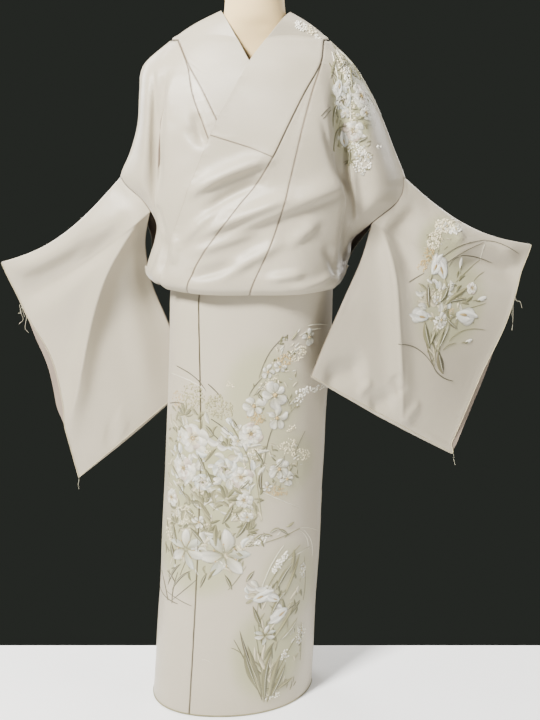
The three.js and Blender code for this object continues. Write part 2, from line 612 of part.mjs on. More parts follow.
function dressForm() {
  const rings = formRows.map((row) => steps(0, 360, formSides).slice(1).map((angle) => {
    const s = Math.sin(angle * degrees);
    const c = Math.cos(angle * degrees);
    return new THREE.Vector3(formX + row.half * s, row.y + (c > 0 ? row.front : row.back) * -c, row.z);
  }));
  const points = rings.flat();
  const faces = [];
  const id = (i, j) => i * formSides + (j % formSides);
  for (let i = 0; i < rings.length - 1; i += 1) {
    for (let j = 0; j < formSides; j += 1) {
      faces.push(id(i, j), id(i, j + 1), id(i + 1, j + 1), id(i, j), id(i + 1, j + 1), id(i + 1, j));
    }
  }
  [0, rings.length - 1].forEach((i) => {
    const centre = new THREE.Vector3(formX, formRows[i].y, formRows[i].z + (i > 0 ? formCap : 0));
    points.push(centre);
    for (let j = 0; j < formSides; j += 1) {
      const [a, b] = i > 0 ? [id(i, j), id(i, j + 1)] : [id(i, j + 1), id(i, j)];
      faces.push(a, b, points.length - 1);
    }
  });
  const geometry = new THREE.BufferGeometry();
  geometry.setAttribute('position', new THREE.Float32BufferAttribute(points.flatMap((p) => p.toArray()), 3));
  geometry.setIndex(faces);
  return geometry;
}

function post() {
  const low = footHeight + seamGap;
  const high = formRows[0].z - seamGap;
  const geometry = new THREE.CylinderGeometry(postRadius, postRadius, high - low, 24);
  return geometry.rotateX(Math.PI / 2).translate(footX, 0, (low + high) / 2);
}

function foot() {
  const profile = [
    [0, 0],
    [footRadius, 0],
    [footRadius, footHeight - footEdge],
    [footRadius - footEdge, footHeight],
    [0, footHeight],
  ];
  const geometry = new THREE.LatheGeometry(profile.map(([r, z]) => new THREE.Vector2(r, z)), 40);
  return geometry.rotateX(Math.PI / 2).translate(footX, 0, 0);
}

const silk = { color: '#d5cec8', roughness: 0.48, metalness: 0 };
const linen = { color: '#e9e0cb', roughness: 0.7, metalness: 0 };
const steel = { color: '#3c3c3e', roughness: 0.4, metalness: 0.7 };

const kimono = new THREE.Group();
kimono.name = 'kimono';
kimono.position.set(-originX, -originY, 0);

function add(name, geometry, look) {
  const mesh = new THREE.Mesh(geometry, new THREE.MeshStandardMaterial(look));
  mesh.name = name;
  kimono.add(mesh);
}

const underSkirtDepth = (s) => underDepth * smooth(0.3, 0.42, s);
add('body_left', bodyLeft(), silk);
add('body_right', bodyRight(), silk);
add('overlap_left', overlapUpper('collarSeam', 'frontSeam', upperRows, 0), silk);
add('overlap_right', overlapUpper('underFrontSeam', 'underCollarSeam', underRows, underDepth), silk);
add('skirt_left', skirtPanel('overSeam', 180), silk);
add('skirt_right', skirtPanel(-180, 'underSeam', underSkirtDepth), silk);
add('skirt_overlap_left', skirtPanel('free', 'overSeam'), silk);
add('skirt_overlap_right', skirtPanel('underSeam', 'underFree', () => underDepth), silk);
add('collar', collar(), silk);
add('over_collar', overCollar(), silk);
add('sleeve_left', sleeve(leftSleeve), silk);
add('sleeve_right', sleeve(rightSleeve), silk);
add('form', dressForm(), linen);
add('post', post(), steel);
add('foot', foot(), steel);

export default kimono;
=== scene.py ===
import math
import bpy
import numpy as np
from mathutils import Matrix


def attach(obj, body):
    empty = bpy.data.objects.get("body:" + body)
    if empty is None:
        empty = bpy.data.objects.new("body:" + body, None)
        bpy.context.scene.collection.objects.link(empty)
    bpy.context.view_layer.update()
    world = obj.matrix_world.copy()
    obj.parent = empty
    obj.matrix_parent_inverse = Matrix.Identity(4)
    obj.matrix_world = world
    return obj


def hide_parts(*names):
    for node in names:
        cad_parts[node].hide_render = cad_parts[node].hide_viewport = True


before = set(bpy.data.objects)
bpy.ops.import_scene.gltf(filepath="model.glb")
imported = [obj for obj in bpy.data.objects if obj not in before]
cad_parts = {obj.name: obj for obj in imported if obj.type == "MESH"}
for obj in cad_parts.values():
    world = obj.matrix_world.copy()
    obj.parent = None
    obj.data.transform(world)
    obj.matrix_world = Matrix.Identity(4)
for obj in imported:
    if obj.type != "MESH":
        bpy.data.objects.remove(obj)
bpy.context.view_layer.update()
print("frame loaded")


def tableOf(names, text):
    # a table with named columns, its rows parted by semicolons
    rows = [[word if word[0].isalpha() else float(word) for word in row.split()] for row in text.split(";")]
    return dict(zip(names.split(), map(list, zip(*rows))))


def fieldTables(names, **texts):
    return {field: tableOf(names, text) for field, text in texts.items()}


# Camera and stage, in metres. A pixel of the picture shows about 2.1 mm of the cloth.
view = {"place": (0.0095, -1.893, 1.27), "tilt": 74.4, "lens": 48.9,
        "sensor": 36.0, "size": (540, 720), "pixel": 2.1}
camera = bpy.data.cameras.new("camera")
camera.lens, camera.sensor_width = view["lens"], view["sensor"]
cameraObject = bpy.data.objects.new("camera", camera)
cameraObject.location = view["place"]
cameraObject.rotation_euler = (math.radians(view["tilt"]), 0, 0)
bpy.context.collection.objects.link(cameraObject)
bpy.context.scene.camera = cameraObject

studio = {
    "floor": {"from": (-1.6, -2.6), "to": (1.6, 0.15), "depth": 0.03, "colour": (0.96, 0.96, 0.955)},
    "backdrop": (0.024, 0.027, 0.023),
    "lamps": [  # place, aimed at, width, height, watts, colour
        ((-1.5, -1.7, 2.9), (0, 0, 0.9), 0.55, 0.55, 385, (1.0, 0.985, 0.955)),
        ((2.4, -1.4, 1.5), (0, 0, 0.8), 0.9, 1.2, 30, (1.0, 0.985, 0.96)),
        ((0.0, -2.9, 1.0), (0, 0, 0.5), 1.4, 1.0, 10, (1.0, 0.985, 0.96)),
        ((0.1, 0.2, 3.0), (0, 0, 1.1), 1.2, 0.6, 34, (1.0, 0.985, 0.96)),
        ((-1.6, 1.9, 1.9), (0, 0, 1.0), 1.2, 1.4, 55, (1.0, 0.98, 0.95)),
        ((1.9, 1.9, 1.4), (0, 0, 0.8), 1.2, 1.4, 45, (1.0, 0.98, 0.95)),
    ],
}


def aimed(place, target):
    back = np.array(place, float) - np.array(target, float)
    flat = math.hypot(back[0], back[1])
    return math.atan2(flat, back[2]), 0, math.atan2(back[0], -back[1])


for i, (place, target, width, height, watts, colour) in enumerate(studio["lamps"]):
    lamp = bpy.data.lights.new(f"lamp{i}", "AREA")
    lamp.shape, lamp.size, lamp.size_y = "RECTANGLE", width, height
    lamp.energy, lamp.color = watts, colour
    lampObject = bpy.data.objects.new(f"lamp{i}", lamp)
    lampObject.location, lampObject.rotation_euler = place, aimed(place, target)
    bpy.context.collection.objects.link(lampObject)

world = bpy.context.scene.world or bpy.data.worlds.new("studio")
bpy.context.scene.world = world
world.use_nodes = True
world.node_tree.nodes["Background"].inputs["Color"].default_value = (*studio["backdrop"], 1)
world.node_tree.nodes["Background"].inputs["Strength"].default_value = 1.0


# Materials
class Shader:
    # a principled material with short calls for adding and joining nodes
    def __init__(self, name, colour, roughness, **sockets):
        self.material = bpy.data.materials.new(name)
        self.material.use_nodes = True
        self.tree = self.material.node_tree
        self.surface = self.tree.nodes["Principled BSDF"]
        self.set(self.surface, {"Base Color": (*colour, 1), "Roughness": roughness})
        self.set(self.surface, {key.replace("_", " "): value for key, value in sockets.items()})

    def set(self, node, values):
        for key, value in values.items():
            node.inputs[key].default_value = value

    def add(self, kind, values=None, **settings):
        node = self.tree.nodes.new(kind)
        for key, value in settings.items():
            setattr(node, key, value)
        self.set(node, values or {})
        return node

    def join(self, start, end):
        self.tree.links.new(start, end)

    def maths(self, operation, a, b=None):
        node = self.add("ShaderNodeMath", operation=operation)
        for socket, value in zip(node.inputs, (a, b)):
            if isinstance(value, (int, float)):
                socket.default_value = value
            elif value is not None:
                self.join(value, socket)
        return node.outputs[0]

    def finish(self, socket, value):
        self.join(value, self.surface.inputs[socket])

    def ramp(self, value, slope, start):
        return self.maths("ADD", self.maths("MULTIPLY", value, slope), start)

    def noise(self, where, scale, detail=2.0, **values):
        node = self.add("ShaderNodeTexNoise", {"Scale": scale, "Detail": detail, **values})
        self.join(where, node.inputs["Vector"])
        return node.outputs["Fac"]

    def mix(self, share, first, second, blend="MIX"):
        node = self.add("ShaderNodeMix", data_type="RGBA", blend_type=blend)
        for socket, value in ((node.inputs[0], share), (node.inputs[6], first), (node.inputs[7], second)):
            if isinstance(value, (int, float)):
                socket.default_value = value
            elif isinstance(value, tuple):
                socket.default_value = (*value, 1)
            else:
                self.join(value, socket)
        return node.outputs[2]

    def bump(self, height, distance, strength=1.0, under=None):
        node = self.add("ShaderNodeBump", {"Strength": strength, "Distance": distance})
        self.join(height, node.inputs["Height"])
        if under is not None:
            self.join(under, node.inputs["Normal"])
        return node.outputs["Normal"]

    def spot(self, kind):
        return self.add("ShaderNodeTexCoord").outputs[kind]

    def value(self, name):
        return self.add("ShaderNodeAttribute", attribute_name=name).outputs["Fac"]

    def stretched(self, where, scale):
        node = self.add("ShaderNodeMapping", {"Scale": scale})
        self.join(where, node.inputs["Vector"])
        return node.outputs["Vector"]


# The seam colour below is painted shadow: a dark line laid along the seams, the cuffs and the collars' free
# edges, where shade falls in the grooves and under the edges.
silkLook = {
    "ground": (0.392, 0.345, 0.260), "warm": (0.430, 0.379, 0.284), "dyed": (0.320, 0.310, 0.178),
    "seam": (0.12, 0.085, 0.05), "reverse": (0.25, 0.195, 0.15), "roughness": 0.37, "reverseRoughness": 0.57,
    "cloudScale": 9.0, "crepeScale": 1500.0, "crepeHeight": 0.00012, "weaveScale": 2600.0, "weaveShare": 0.35,
    "seamShadowSharpness": 430.0, "puckerFade": -95.0, "puckerStretch": (14.0, 75.0, 1.0), "puckerHeight": 0.0024,
    "softScale": 26.0, "softHeight": 0.0016, "softStrength": 0.35, "glossLow": 0.29, "glossSpread": 0.16,
}


def silkMaterial(name, reverse=False):
    # the inner faces take the reverse colour, a dark brown copy of the silk: painted shade for the inside
    # seen through the openings
    ground = silkLook["reverse"] if reverse else silkLook["ground"]
    shader = Shader(name, ground, silkLook["reverseRoughness" if reverse else "roughness"], Sheen_Weight=0.22,
                    Sheen_Roughness=0.35, Specular_IOR_Level=0.5, IOR=1.46)
    spot, flat = shader.spot("Object"), shader.spot("UV")
    seam = shader.value("seam")
    if not reverse:
        colour = shader.mix(shader.noise(spot, silkLook["cloudScale"], 3.0), ground, silkLook["warm"])
        colour = shader.mix(shader.value("dye"), colour, silkLook["dyed"])
        # painted seam shadow: the silk turns to the dark seam colour within about 2 mm of a seam or edge
        seamShadowShare = shader.maths("SUBTRACT", 1.0, shader.maths("MULTIPLY", seam, silkLook["seamShadowSharpness"]))
        line = shader.add("ShaderNodeClamp")
        shader.join(seamShadowShare, line.inputs["Value"])
        colour = shader.mix(line.outputs[0], colour, silkLook["seam"])
        shader.finish("Base Color", colour)
    # crepe grain, the fine cross weave, and the small puckers beside a seam
    grain = shader.noise(spot, silkLook["crepeScale"], 3.0, Roughness=0.6)
    weave = shader.add("ShaderNodeTexWave", {"Scale": silkLook["weaveScale"],
                                             "Distortion": 1.5, "Detail": 1.0})
    shader.join(flat, weave.inputs["Vector"])
    threads = shader.ramp(weave.outputs["Fac"], silkLook["weaveShare"], grain)
    normal = shader.bump(threads, silkLook["crepeHeight"])
    fade = shader.maths("EXPONENT", shader.maths("MULTIPLY", seam, silkLook["puckerFade"]))
    pucker = shader.noise(shader.stretched(flat, silkLook["puckerStretch"]), 1.0)
    normal = shader.bump(shader.maths("MULTIPLY", pucker, fade), silkLook["puckerHeight"], under=normal)
    soft = shader.noise(spot, silkLook["softScale"])
    normal = shader.bump(soft, silkLook["softHeight"], silkLook["softStrength"], under=normal)
    shader.finish("Normal", normal)
    shader.finish("Roughness", shader.ramp(grain, silkLook["glossSpread"], silkLook["glossLow"]))
    return shader.material


silk, shadedSilkReverse = silkMaterial("silk crepe"), silkMaterial("silk reverse", reverse=True)

# The draped form, in millimetres from the centre line of the torso, as in the part's source
origin = np.array([20.5, -7.0, 0.0])

middleRows = tableOf("z front back backZ", """
    1352 52 124 1278; 1310 82 127 1258; 1260 102 127 1230; 1200 118 122 1190; 1150 124 118 1146;
    1100 127 115 1099; 1060 129 113 1060; 1020 131 113 1020; 985 134 116 985; 955 139 122 955;
    930 144 130 930; 912 143 130 912; 898 132 120 900""")
leftRows = tableOf("crestX crestY hollowX hollowY wingX wingY edgeX edgeY rearX rearY", """
    70 -44 98 -34 121 -20 139 2 139 8; 106 -66 135 -50 163 -29 184 4 184 10;
    123 -85 150 -60 190 -38 217 8 217 14; 131 -97 154 -58 208 -44 246 10 246 16;
    142 -97 160 -52 222 -44 266 12 266 20; 158 -94 169 -48 234 -40 287 14 287 24;
    167 -89 175 -44 226 -42 276 -6 278 44; 166 -84 175 -42 190 -36 226 -22 250 58;
    162 -82 172 -44 184 -26 192 -4 220 58; 156 -82 169 -46 182 -20 188 8 196 44;
    151 -86 166 -52 178 -22 181 8 181 18; 151 -86 164 -54 173 -24 175 6 175 14;
    143 -79 155 -50 164 -22 166 6 166 14""")
rightRows = tableOf("crestX crestY hollowX hollowY wingX wingY edgeX edgeY rearX rearY", """
    -82 -42 -110 -31 -134 -18 -152 2 -152 8; -125 -66 -152 -53 -182 -32 -202 4 -202 10;
    -156 -78 -172 -58 -198 -40 -213 8 -213 14; -176 -80 -182 -54 -203 -42 -219 10 -219 16;
    -182 -78 -185 -50 -208 -42 -235 12 -235 19; -184 -76 -186 -46 -213 -40 -255 13 -255 23;
    -184 -74 -186 -44 -198 -34 -212 -14 -240 42; -179 -72 -182 -42 -186 -29 -190 -14 -222 54;
    -176 -74 -182 -46 -190 -26 -194 -4 -208 50; -180 -78 -192 -50 -201 -24 -204 2 -206 36;
    -186 -80 -202 -52 -209 -24 -211 4 -211 15; -184 -78 -200 -50 -207 -22 -209 4 -209 14;
    -170 -72 -186 -48 -193 -20 -194 4 -194 13""")
seamRows = tableOf("free collarSeam frontSeam underFree underCollarSeam underFrontSeam", """
    22 127 129 -28 -137 -139; -10 120 122 -2 -117 -120; -38 91 105 34 -88 -110; -71 60 88 74 -58 -88;
    -93 35 76 100 -34 -68; -114 4 64 116 -8 -44; -130 -30 53 126 18 -24; -146 -61 41 132 40 -8;
    -158 -86 28 136 56 2; -169 -106 14 136 66 8; -177 -119 2 134 70 10; -176 -124 -5 132 70 10;
    -163 -122 -8 126 68 10""")
skirtRows = tableOf("z centre half front back skew", """
    972 -5 148 110 104 0; 880 -6 160 117 113 -2; 600 -19 162 122 119 -8; 300 -34 166 126 123 -16;
    0 -50 172 130 127 -27""")
skirtSeams = tableOf("z free overSeam underSeam underFree", """
    972 -98 -35 8 70; 880 -98 -35 8 70; 600 -97 -27 8 72; 300 -96 -23 8 74; 0 -96 -20 8 76""")
cloth = {"thickness": 0.9, "underDepth": 5.2, "layRise": 2.0, "seamGap": 0.3, "seamSide": 0.22,
         "ringPower": 2.2, "chestShare": 0.55, "chestFlat": 0.965, "tieRise": 1.6, "foldRise": 5.0,
         "tieZ": 966.0, "foldZ": 916.0, "backFrom": 92, "backTurn": 87.9, "backRound": 0.9, "backSink": 1.5}
stationAngles = np.array([-91, -77, -65, -50, -26, 0, 26, 50, 65, 77, 89], float)
lastStation = len(stationAngles) - 1
lastRow = len(middleRows["z"]) - 1
tieRow = lastRow + 2  # the blouse turns under at the last row and runs up to the tie


def curved(pick, last, place, widen=lambda v: v):
    # Catmull-Rom value at a place between the knots that pick(i) gives
    i = np.clip(np.floor(place).astype(int), 0, last - 1)
    f = widen(place - i)
    p1, p2 = pick(i), pick(i + 1)
    p0 = np.where(widen(i > 0), pick(np.maximum(i - 1, 0)), 2 * p1 - p2)
    p3 = np.where(widen(i < last - 1), pick(np.minimum(i + 2, last)), 2 * p2 - p1)
    return p1 + 0.5 * f * (p2 - p0 + f * (2 * p0 - 5 * p1 + 4 * p2 - p3 + f * (3 * (p1 - p2) + p3 - p0)))


def along(values, t):
    values = np.asarray(values, float)
    return curved(lambda i: values[i], len(values) - 1, np.asarray(t, float))


def acrossRow(points, q):
    # the same along the stations of each row; points is (..., stations, 3)
    pick = lambda i: np.take_along_axis(points, i[..., None, None], axis=-2)[..., 0, :]
    return curved(pick, points.shape[-2] - 1, np.asarray(q, float), lambda v: v[..., None])


def smooth(low, high, value):
    f = np.clip((value - low) / (high - low), 0, 1)
    return f * f * (3 - 2 * f)


def unit(v):
    return v / np.maximum(np.linalg.norm(v, axis=-1, keepdims=True), 1e-12)


def skirtAt(z):
    return np.interp(-np.asarray(z, float), [-v for v in skirtRows["z"]], range(len(skirtRows["z"])))


def skirtPoint(angle, z, rise=0.0):
    angle, z = np.broadcast_arrays(np.asarray(angle, float), np.asarray(z, float))
    t = skirtAt(z)
    s, c = np.sin(np.radians(angle)), np.cos(np.radians(angle))
    depth = np.where(c > 0, along(skirtRows["front"], t), along(skirtRows["back"], t)) + rise
    half = along(skirtRows["half"], t) + rise
    power = 2 / cloth["ringPower"]
    middle = along(skirtRows["centre"], t) + along(skirtRows["skew"], t) * np.maximum(c, 0)
    x = middle + np.sign(s) * half * np.abs(s) ** power
    y = -np.sign(c) * depth * np.abs(c) ** power
    return np.stack([x, y, z + 0 * x], axis=-1)


def turned(angle, start, t):
    # the blouse's inner layer, from the fold up to the tie
    low = skirtPoint(angle, cloth["foldZ"], cloth["foldRise"])
    tie = skirtPoint(angle, cloth["tieZ"], cloth["tieRise"])
    f = np.clip(t - lastRow, 0, 1)[..., None]
    g = np.clip(t - lastRow - 1, 0, 1)[..., None]
    return start * (1 - f) + low * f * (1 - g) + tie * f * g


def tableStations(t):
    t = np.asarray(t, float)
    z, front = along(middleRows["z"], t), along(middleRows["front"], t)
    cells = []
    for rows in (rightRows, leftRows):
        side = [(cloth["chestShare"] * along(rows["crestX"], t), -cloth["chestFlat"] * front)]
        side += [(along(rows[key + "X"], t), along(rows[key + "Y"], t))
                 for key in ("crest", "hollow", "wing", "edge")]
        cells.append(side)
    cells = cells[0][::-1] + [(0 * z, -front)] + cells[1]
    return np.stack([np.stack([x, y, z], axis=-1) for x, y in cells], axis=-2)


def stations(t):
    t = np.asarray(t, float)
    base = tableStations(np.minimum(t, lastRow))
    inner = turned(stationAngles + 0 * t[..., None], base, t[..., None])
    return np.where((t > lastRow)[..., None, None], inner, base)


def frontPoint(q, t):
    q, t = np.broadcast_arrays(np.asarray(q, float), np.asarray(t, float))
    return acrossRow(stations(t), q)


def facing(point, across, t, end, step=0.01):
    # the way that a surface faces, from its points a small step to each side
    side = point(np.minimum(across + step, end), t) - point(np.maximum(across - step, 0), t)
    down = point(across, np.minimum(t + step, tieRow)) - point(across, np.maximum(t - step, 0))
    return unit(np.cross(down, side))


def frontNormal(q, t):
    return facing(frontPoint, q, t, lastStation)


def backPoint(side, u, t):
    u, t = np.broadcast_arrays(np.asarray(u, float), np.asarray(t, float))
    row = np.minimum(t, lastRow)
    rows = leftRows if side > 0 else rightRows
    turn = u * math.pi / 2
    sine, cosine = np.sin(turn), np.maximum(np.cos(turn), 0)
    x = along(rows["rearX"], row) * cosine ** cloth["backRound"] + side * cloth["seamGap"] / 2
    rearY, z = along(rows["rearY"], row), along(middleRows["z"], row)
    y = rearY + (along(middleRows["back"], row) - rearY) * sine ** cloth["backRound"]
    z = z + (along(middleRows["backZ"], row) - z) * sine ** cloth["backSink"]
    base = np.stack([x, y, z], axis=-1)
    inner = turned(side * (cloth["backFrom"] + cloth["backTurn"] * u), base, t)
    return np.where((t > lastRow)[..., None], inner, base)


def backNormal(side, u, t):
    return facing(lambda across, row: backPoint(side, across, row), u, t, 1) * side


def stationAt(x, t, halvings=34):
    # the station position at which a row reaches x
    points = stations(t)
    low, high = np.zeros_like(t, float), np.full_like(t, lastStation, float)
    for _ in range(halvings):
        middle = (low + high) / 2
        less = acrossRow(points, middle)[..., 0] < x
        low, high = np.where(less, middle, low), np.where(less, high, middle)
    return (low + high) / 2


def seamStation(key, t, shift=0.0):
    row = np.minimum(np.asarray(t, float), lastRow)
    return stationAt(along(seamRows[key], row) + shift, row)


# Folds seen from the front, in millimetres: a bow from one end over a middle point to the other, the width of
# its upper and of its lower slope, and its height. A negative height is a trough.
foldSteps = 24
chestFolds = tableOf("fromX fromZ bowX bowZ toX toZ upper lower height", """
    46 1146 -50 1130 -124 1074 17 8 15; 74 1080 0 1060 -116 1000 19 9 14;
    178 1100 84 1074 -64 1006 24 10 14; 130 990 152 956 158 922 9 9 -9; 60 1002 4 968 -64 934 15 9 9;
    -106 1228 -108 1200 -84 1166 10 7 -11; -166 1300 -176 1190 -181 1064 8 9 -8;
    176 1160 188 1080 196 1015 8 9 9; 160 1230 172 1150 176 1070 9 10 -9; -20 962 -70 944 -134 930 12 9 -7;
    96 942 60 936 20 930 9 7 7; 150 934 120 916 60 914 8 7 6; -150 1010 -140 985 -150 950 10 8 7;
    30 1108 -34 1094 -98 1046 11 8 -8; -178 1010 -162 962 -180 925 10 10 -7; 120 1040 96 1012 60 990 14 8 7;
    -60 1060 -100 1032 -138 985 10 8 6; 10 1018 -50 1000 -120 972 12 8 7; 190 1040 176 970 168 925 8 9 -7;
    -189 1330 -184 1180 -185 1055 6 6 -8; -185 1062 -181 1030 -170 995 5 5 -6;
    172 1075 171 1000 156 925 7 7 -9; 120 1225 148 1150 172 1075 6 9 -6; 163 1121 185 1095 190 1015 5 6 -7;
    -119 1205 -107 1182 -86 1166 11 12 -6""")
# The same on the back: long soft falls from the shoulders and short gathers above the waist
backFolds = tableOf("fromX fromZ bowX bowZ toX toZ upper lower height", """
    -120 1230 -80 1120 -96 990 22 16 5; 110 1220 76 1100 96 980 20 18 4.5; 30 1140 40 1050 10 960 16 14 -4;
    -60 1100 -40 1020 -70 940 16 14 3.5; 150 1120 150 1030 120 950 14 12 4;
    -150 1110 -150 1040 -120 950 14 12 4; -10 980 -20 945 -12 915 9 9 -3.5; 70 960 84 940 60 915 9 9 -3.5""")
skirtFolds = tableOf("fromX fromZ bowX bowZ toX toZ upper lower height", """
    -150 880 -156 500 -170 40 18 24 -2; 40 890 30 640 10 420 40 46 2; 120 860 126 520 128 120 24 20 -2.2;
    -60 880 -64 700 -90 480 34 38 -1.6; 90 300 100 150 96 10 26 24 2; 10 240 -10 110 -20 10 30 26 -1.8""")


def foldRelief(folds, across, up):
    total = np.zeros_like(across, float)
    share = np.linspace(0, 1, foldSteps + 1)[:, None]
    for *ends, upper, lower, height in zip(*folds.values()):
        ends = np.reshape(ends, (3, 2))
        path = (1 - share) ** 2 * ends[0] + 2 * share * (1 - share) * ends[1] + share ** 2 * ends[2]
        reach = 3 * max(upper, lower)
        near = (across > path[:, 0].min() - reach) & (across < path[:, 0].max() + reach)
        near &= (up > path[:, 1].min() - reach) & (up < path[:, 1].max() + reach)
        if not near.any():
            continue
        spots = np.stack([across[near], up[near]], axis=-1)
        gap = spots[:, None, :] - path[None]
        closest = (gap ** 2).sum(-1).argmin(1)
        slope = unit(np.gradient(path, axis=0))[closest]
        offset = gap[np.arange(len(spots)), closest]
        away = slope[:, 0] * offset[:, 1] - slope[:, 1] * offset[:, 0]
        away *= np.where(slope[:, 0] < 0, -1.0, 1.0)
        far = np.where((closest > 0) & (closest < foldSteps), np.abs(away), np.linalg.norm(offset, axis=-1))
        place = closest / foldSteps + (slope * offset).sum(-1) / 400
        fade = smooth(-0.05, 0.35, place) * smooth(-0.05, 0.35, 1 - place)
        width = np.where(away > 0, upper, lower)
        total[near] += height * fade * np.exp(-((far / width) ** 2))
    return total


def wander(across, up, size):
    # slow unevenness of hanging cloth
    a, b = across / size, up / size
    waves = ((1.7, 0.9, 0.4, 1.0), (0.8, -1.9, 2.1, 1.0), (2.6, 2.2, 4.0, 0.5))  # across, up, phase, height
    return sum(height * np.sin(p * a + q * b + phase) for p, q, phase, height in waves) / 2.5


# Height and size of the slow unevenness, in millimetres
uneven = {"upper": (0.8, 38), "skirt": (0.9, 70), "sleeve": (0.9, 60), "cord": (0.7, 16)}


def upperRelief(points):
    x, y, z = np.moveaxis(points, -1, 0)
    height, size = uneven["upper"]
    relief = np.where(y < 0, foldRelief(chestFolds, x, z), foldRelief(backFolds, x, z))
    relief += height * wander(x, z, size)
    # it fades out at the fold over the waist and at the sides
    return relief * smooth(middleRows["z"][-1], cloth["foldZ"], z) * smooth(0, 22, np.abs(y) + 8)


def skirtRelief(points):
    x, y, z = np.moveaxis(points, -1, 0)
    height, size = uneven["skirt"]
    relief = np.where(y < 0, 1.0, -0.8) * foldRelief(skirtFolds, x, z) + height * wander(x, z, size)
    # it fades out at the hem and under the blouse
    return relief * smooth(0, 60, z + 20) * (1 - smooth(860, 930, z))


# Row positions of the upper half, closer together at the fold over the waist
upperRows = np.concatenate([np.arange(0, 11, 0.1), np.arange(11, 12.7, 0.05), np.arange(12.7, 14.01, 0.1)])
upperRows = np.round(upperRows, 3)
underEnd = 11.4  # the lower right front ends here, behind the left one
underRows = upperRows[upperRows <= underEnd]


def spread(count, edge=3.0, length=200.0):
    # shares from 0 to 1, closer together in the last few millimetres at both ends
    ends = np.array([0, 0.3, 0.9]) * edge / length
    inner = np.linspace(edge * 2 / length, 1 - edge * 2 / length, count)
    return np.concatenate([ends, inner, 1 - ends[::-1]])


def rolled(points, rows, rounds=24):
    # softens the fold that hangs over the waist
    near = (smooth(10.9, 11.6, rows) * (1 - smooth(12.5, 13.1, rows)))[:, None, None]
    for _ in range(rounds):
        middle = points.copy()
        middle[1:-1] = (points[:-2] + 2 * points[1:-1] + points[2:]) / 4
        points = points * (1 - near) + middle * near
    return points


def seamGroove(away, depth=0.75, width=2.6):
    return -depth * np.exp(-((away / width) ** 2))


def distances(points, axis):
    # running length along an axis of a grid
    step = np.linalg.norm(np.diff(points, axis=axis), axis=-1)
    start = np.zeros_like(np.take(step, [0], axis=axis))
    return np.concatenate([start, np.cumsum(step, axis=axis)], axis=axis)


def gridNormals(points, round=False):
    if round:
        wide = np.concatenate([points[:, -1:], points, points[:, :1]], axis=1)
        side = wide[:, 2:] - wide[:, :-2]
    else:
        side = np.gradient(points, axis=1)
    return unit(np.cross(np.gradient(points, axis=0), side))


sheets = {}  # grids kept for the pieces that are laid on the cloth


def toFrame(points):
    return (points - origin) / 1000


def fillValues(data, key, values):
    data.foreach_set(key, np.asarray(values, np.float32).ravel())


def makeMesh(name, points, faces, materials, values=None, flat=None, colours=None):
    mesh = bpy.data.meshes.new(name)
    faces = faces.tolist() if hasattr(faces, "tolist") else faces
    mesh.from_pydata(points.reshape(-1, 3).tolist(), [], faces)
    for material in materials:
        mesh.materials.append(material)
    mesh.shade_smooth()
    for key, data in (values or {}).items():
        fillValues(mesh.attributes.new(key, "FLOAT", "POINT").data, "value", data)
    if colours is not None:
        fillValues(mesh.color_attributes.new("thread", "FLOAT_COLOR", "POINT").data, "color", colours)
    if flat is not None:
        corners = np.empty(len(mesh.loops), np.int32)
        mesh.loops.foreach_get("vertex_index", corners)
        fillValues(mesh.uv_layers.new(name="flat").data, "uv", flat.reshape(-1, 2)[corners])
    piece = bpy.data.objects.new(name, mesh)
    bpy.context.collection.objects.link(piece)
    return piece


# Soft dyed shades round the sprays, as ovals in the picture's pixels, with the depth of the cloth there
tints = tableOf("x y wide tall share depth", """
    213 478 62 84 1 -112; 196 555 52 52 0.9 -112; 262 400 44 64 0.75 -112; 284 465 34 44 0.7 -112;
    268 655 44 62 0.95 -112; 288 590 34 54 0.7 -112; 352 104 24 62 0.9 -40; 448 300 44 52 0.85 20;
    440 242 26 30 0.8 20""")


def behindPicture(x, y, depth):
    # the point at this depth, in millimetres, that shows at a place of the picture
    tilt, scale = math.radians(view["tilt"]), view["sensor"] / view["lens"] / view["size"][1]
    right, up = (np.asarray(x) - view["size"][0] / 2) * scale, (view["size"][1] / 2 - np.asarray(y)) * scale
    eye = np.array(view["place"]) * 1000 + origin
    reach = (depth - eye[1]) / (up * math.cos(tilt) + math.sin(tilt))
    return eye[0] + right * reach, eye[2] + (up * math.sin(tilt) - math.cos(tilt)) * reach


def dyedShare(points, normals):
    share = np.zeros(points.shape[:2])
    for x, y, wide, tall, strength, depth in zip(*tints.values()):
        middleX, middleZ = behindPicture(x, y, depth)
        across, up = (points[..., 0] - middleX) / wide, (points[..., 2] - middleZ) / tall
        away = (across ** 2 + up ** 2) / view["pixel"] ** 2
        share = np.maximum(share, strength * smooth(1.0, 0.25, away))
    return share * smooth(0.0, 0.25, -normals[..., 1])


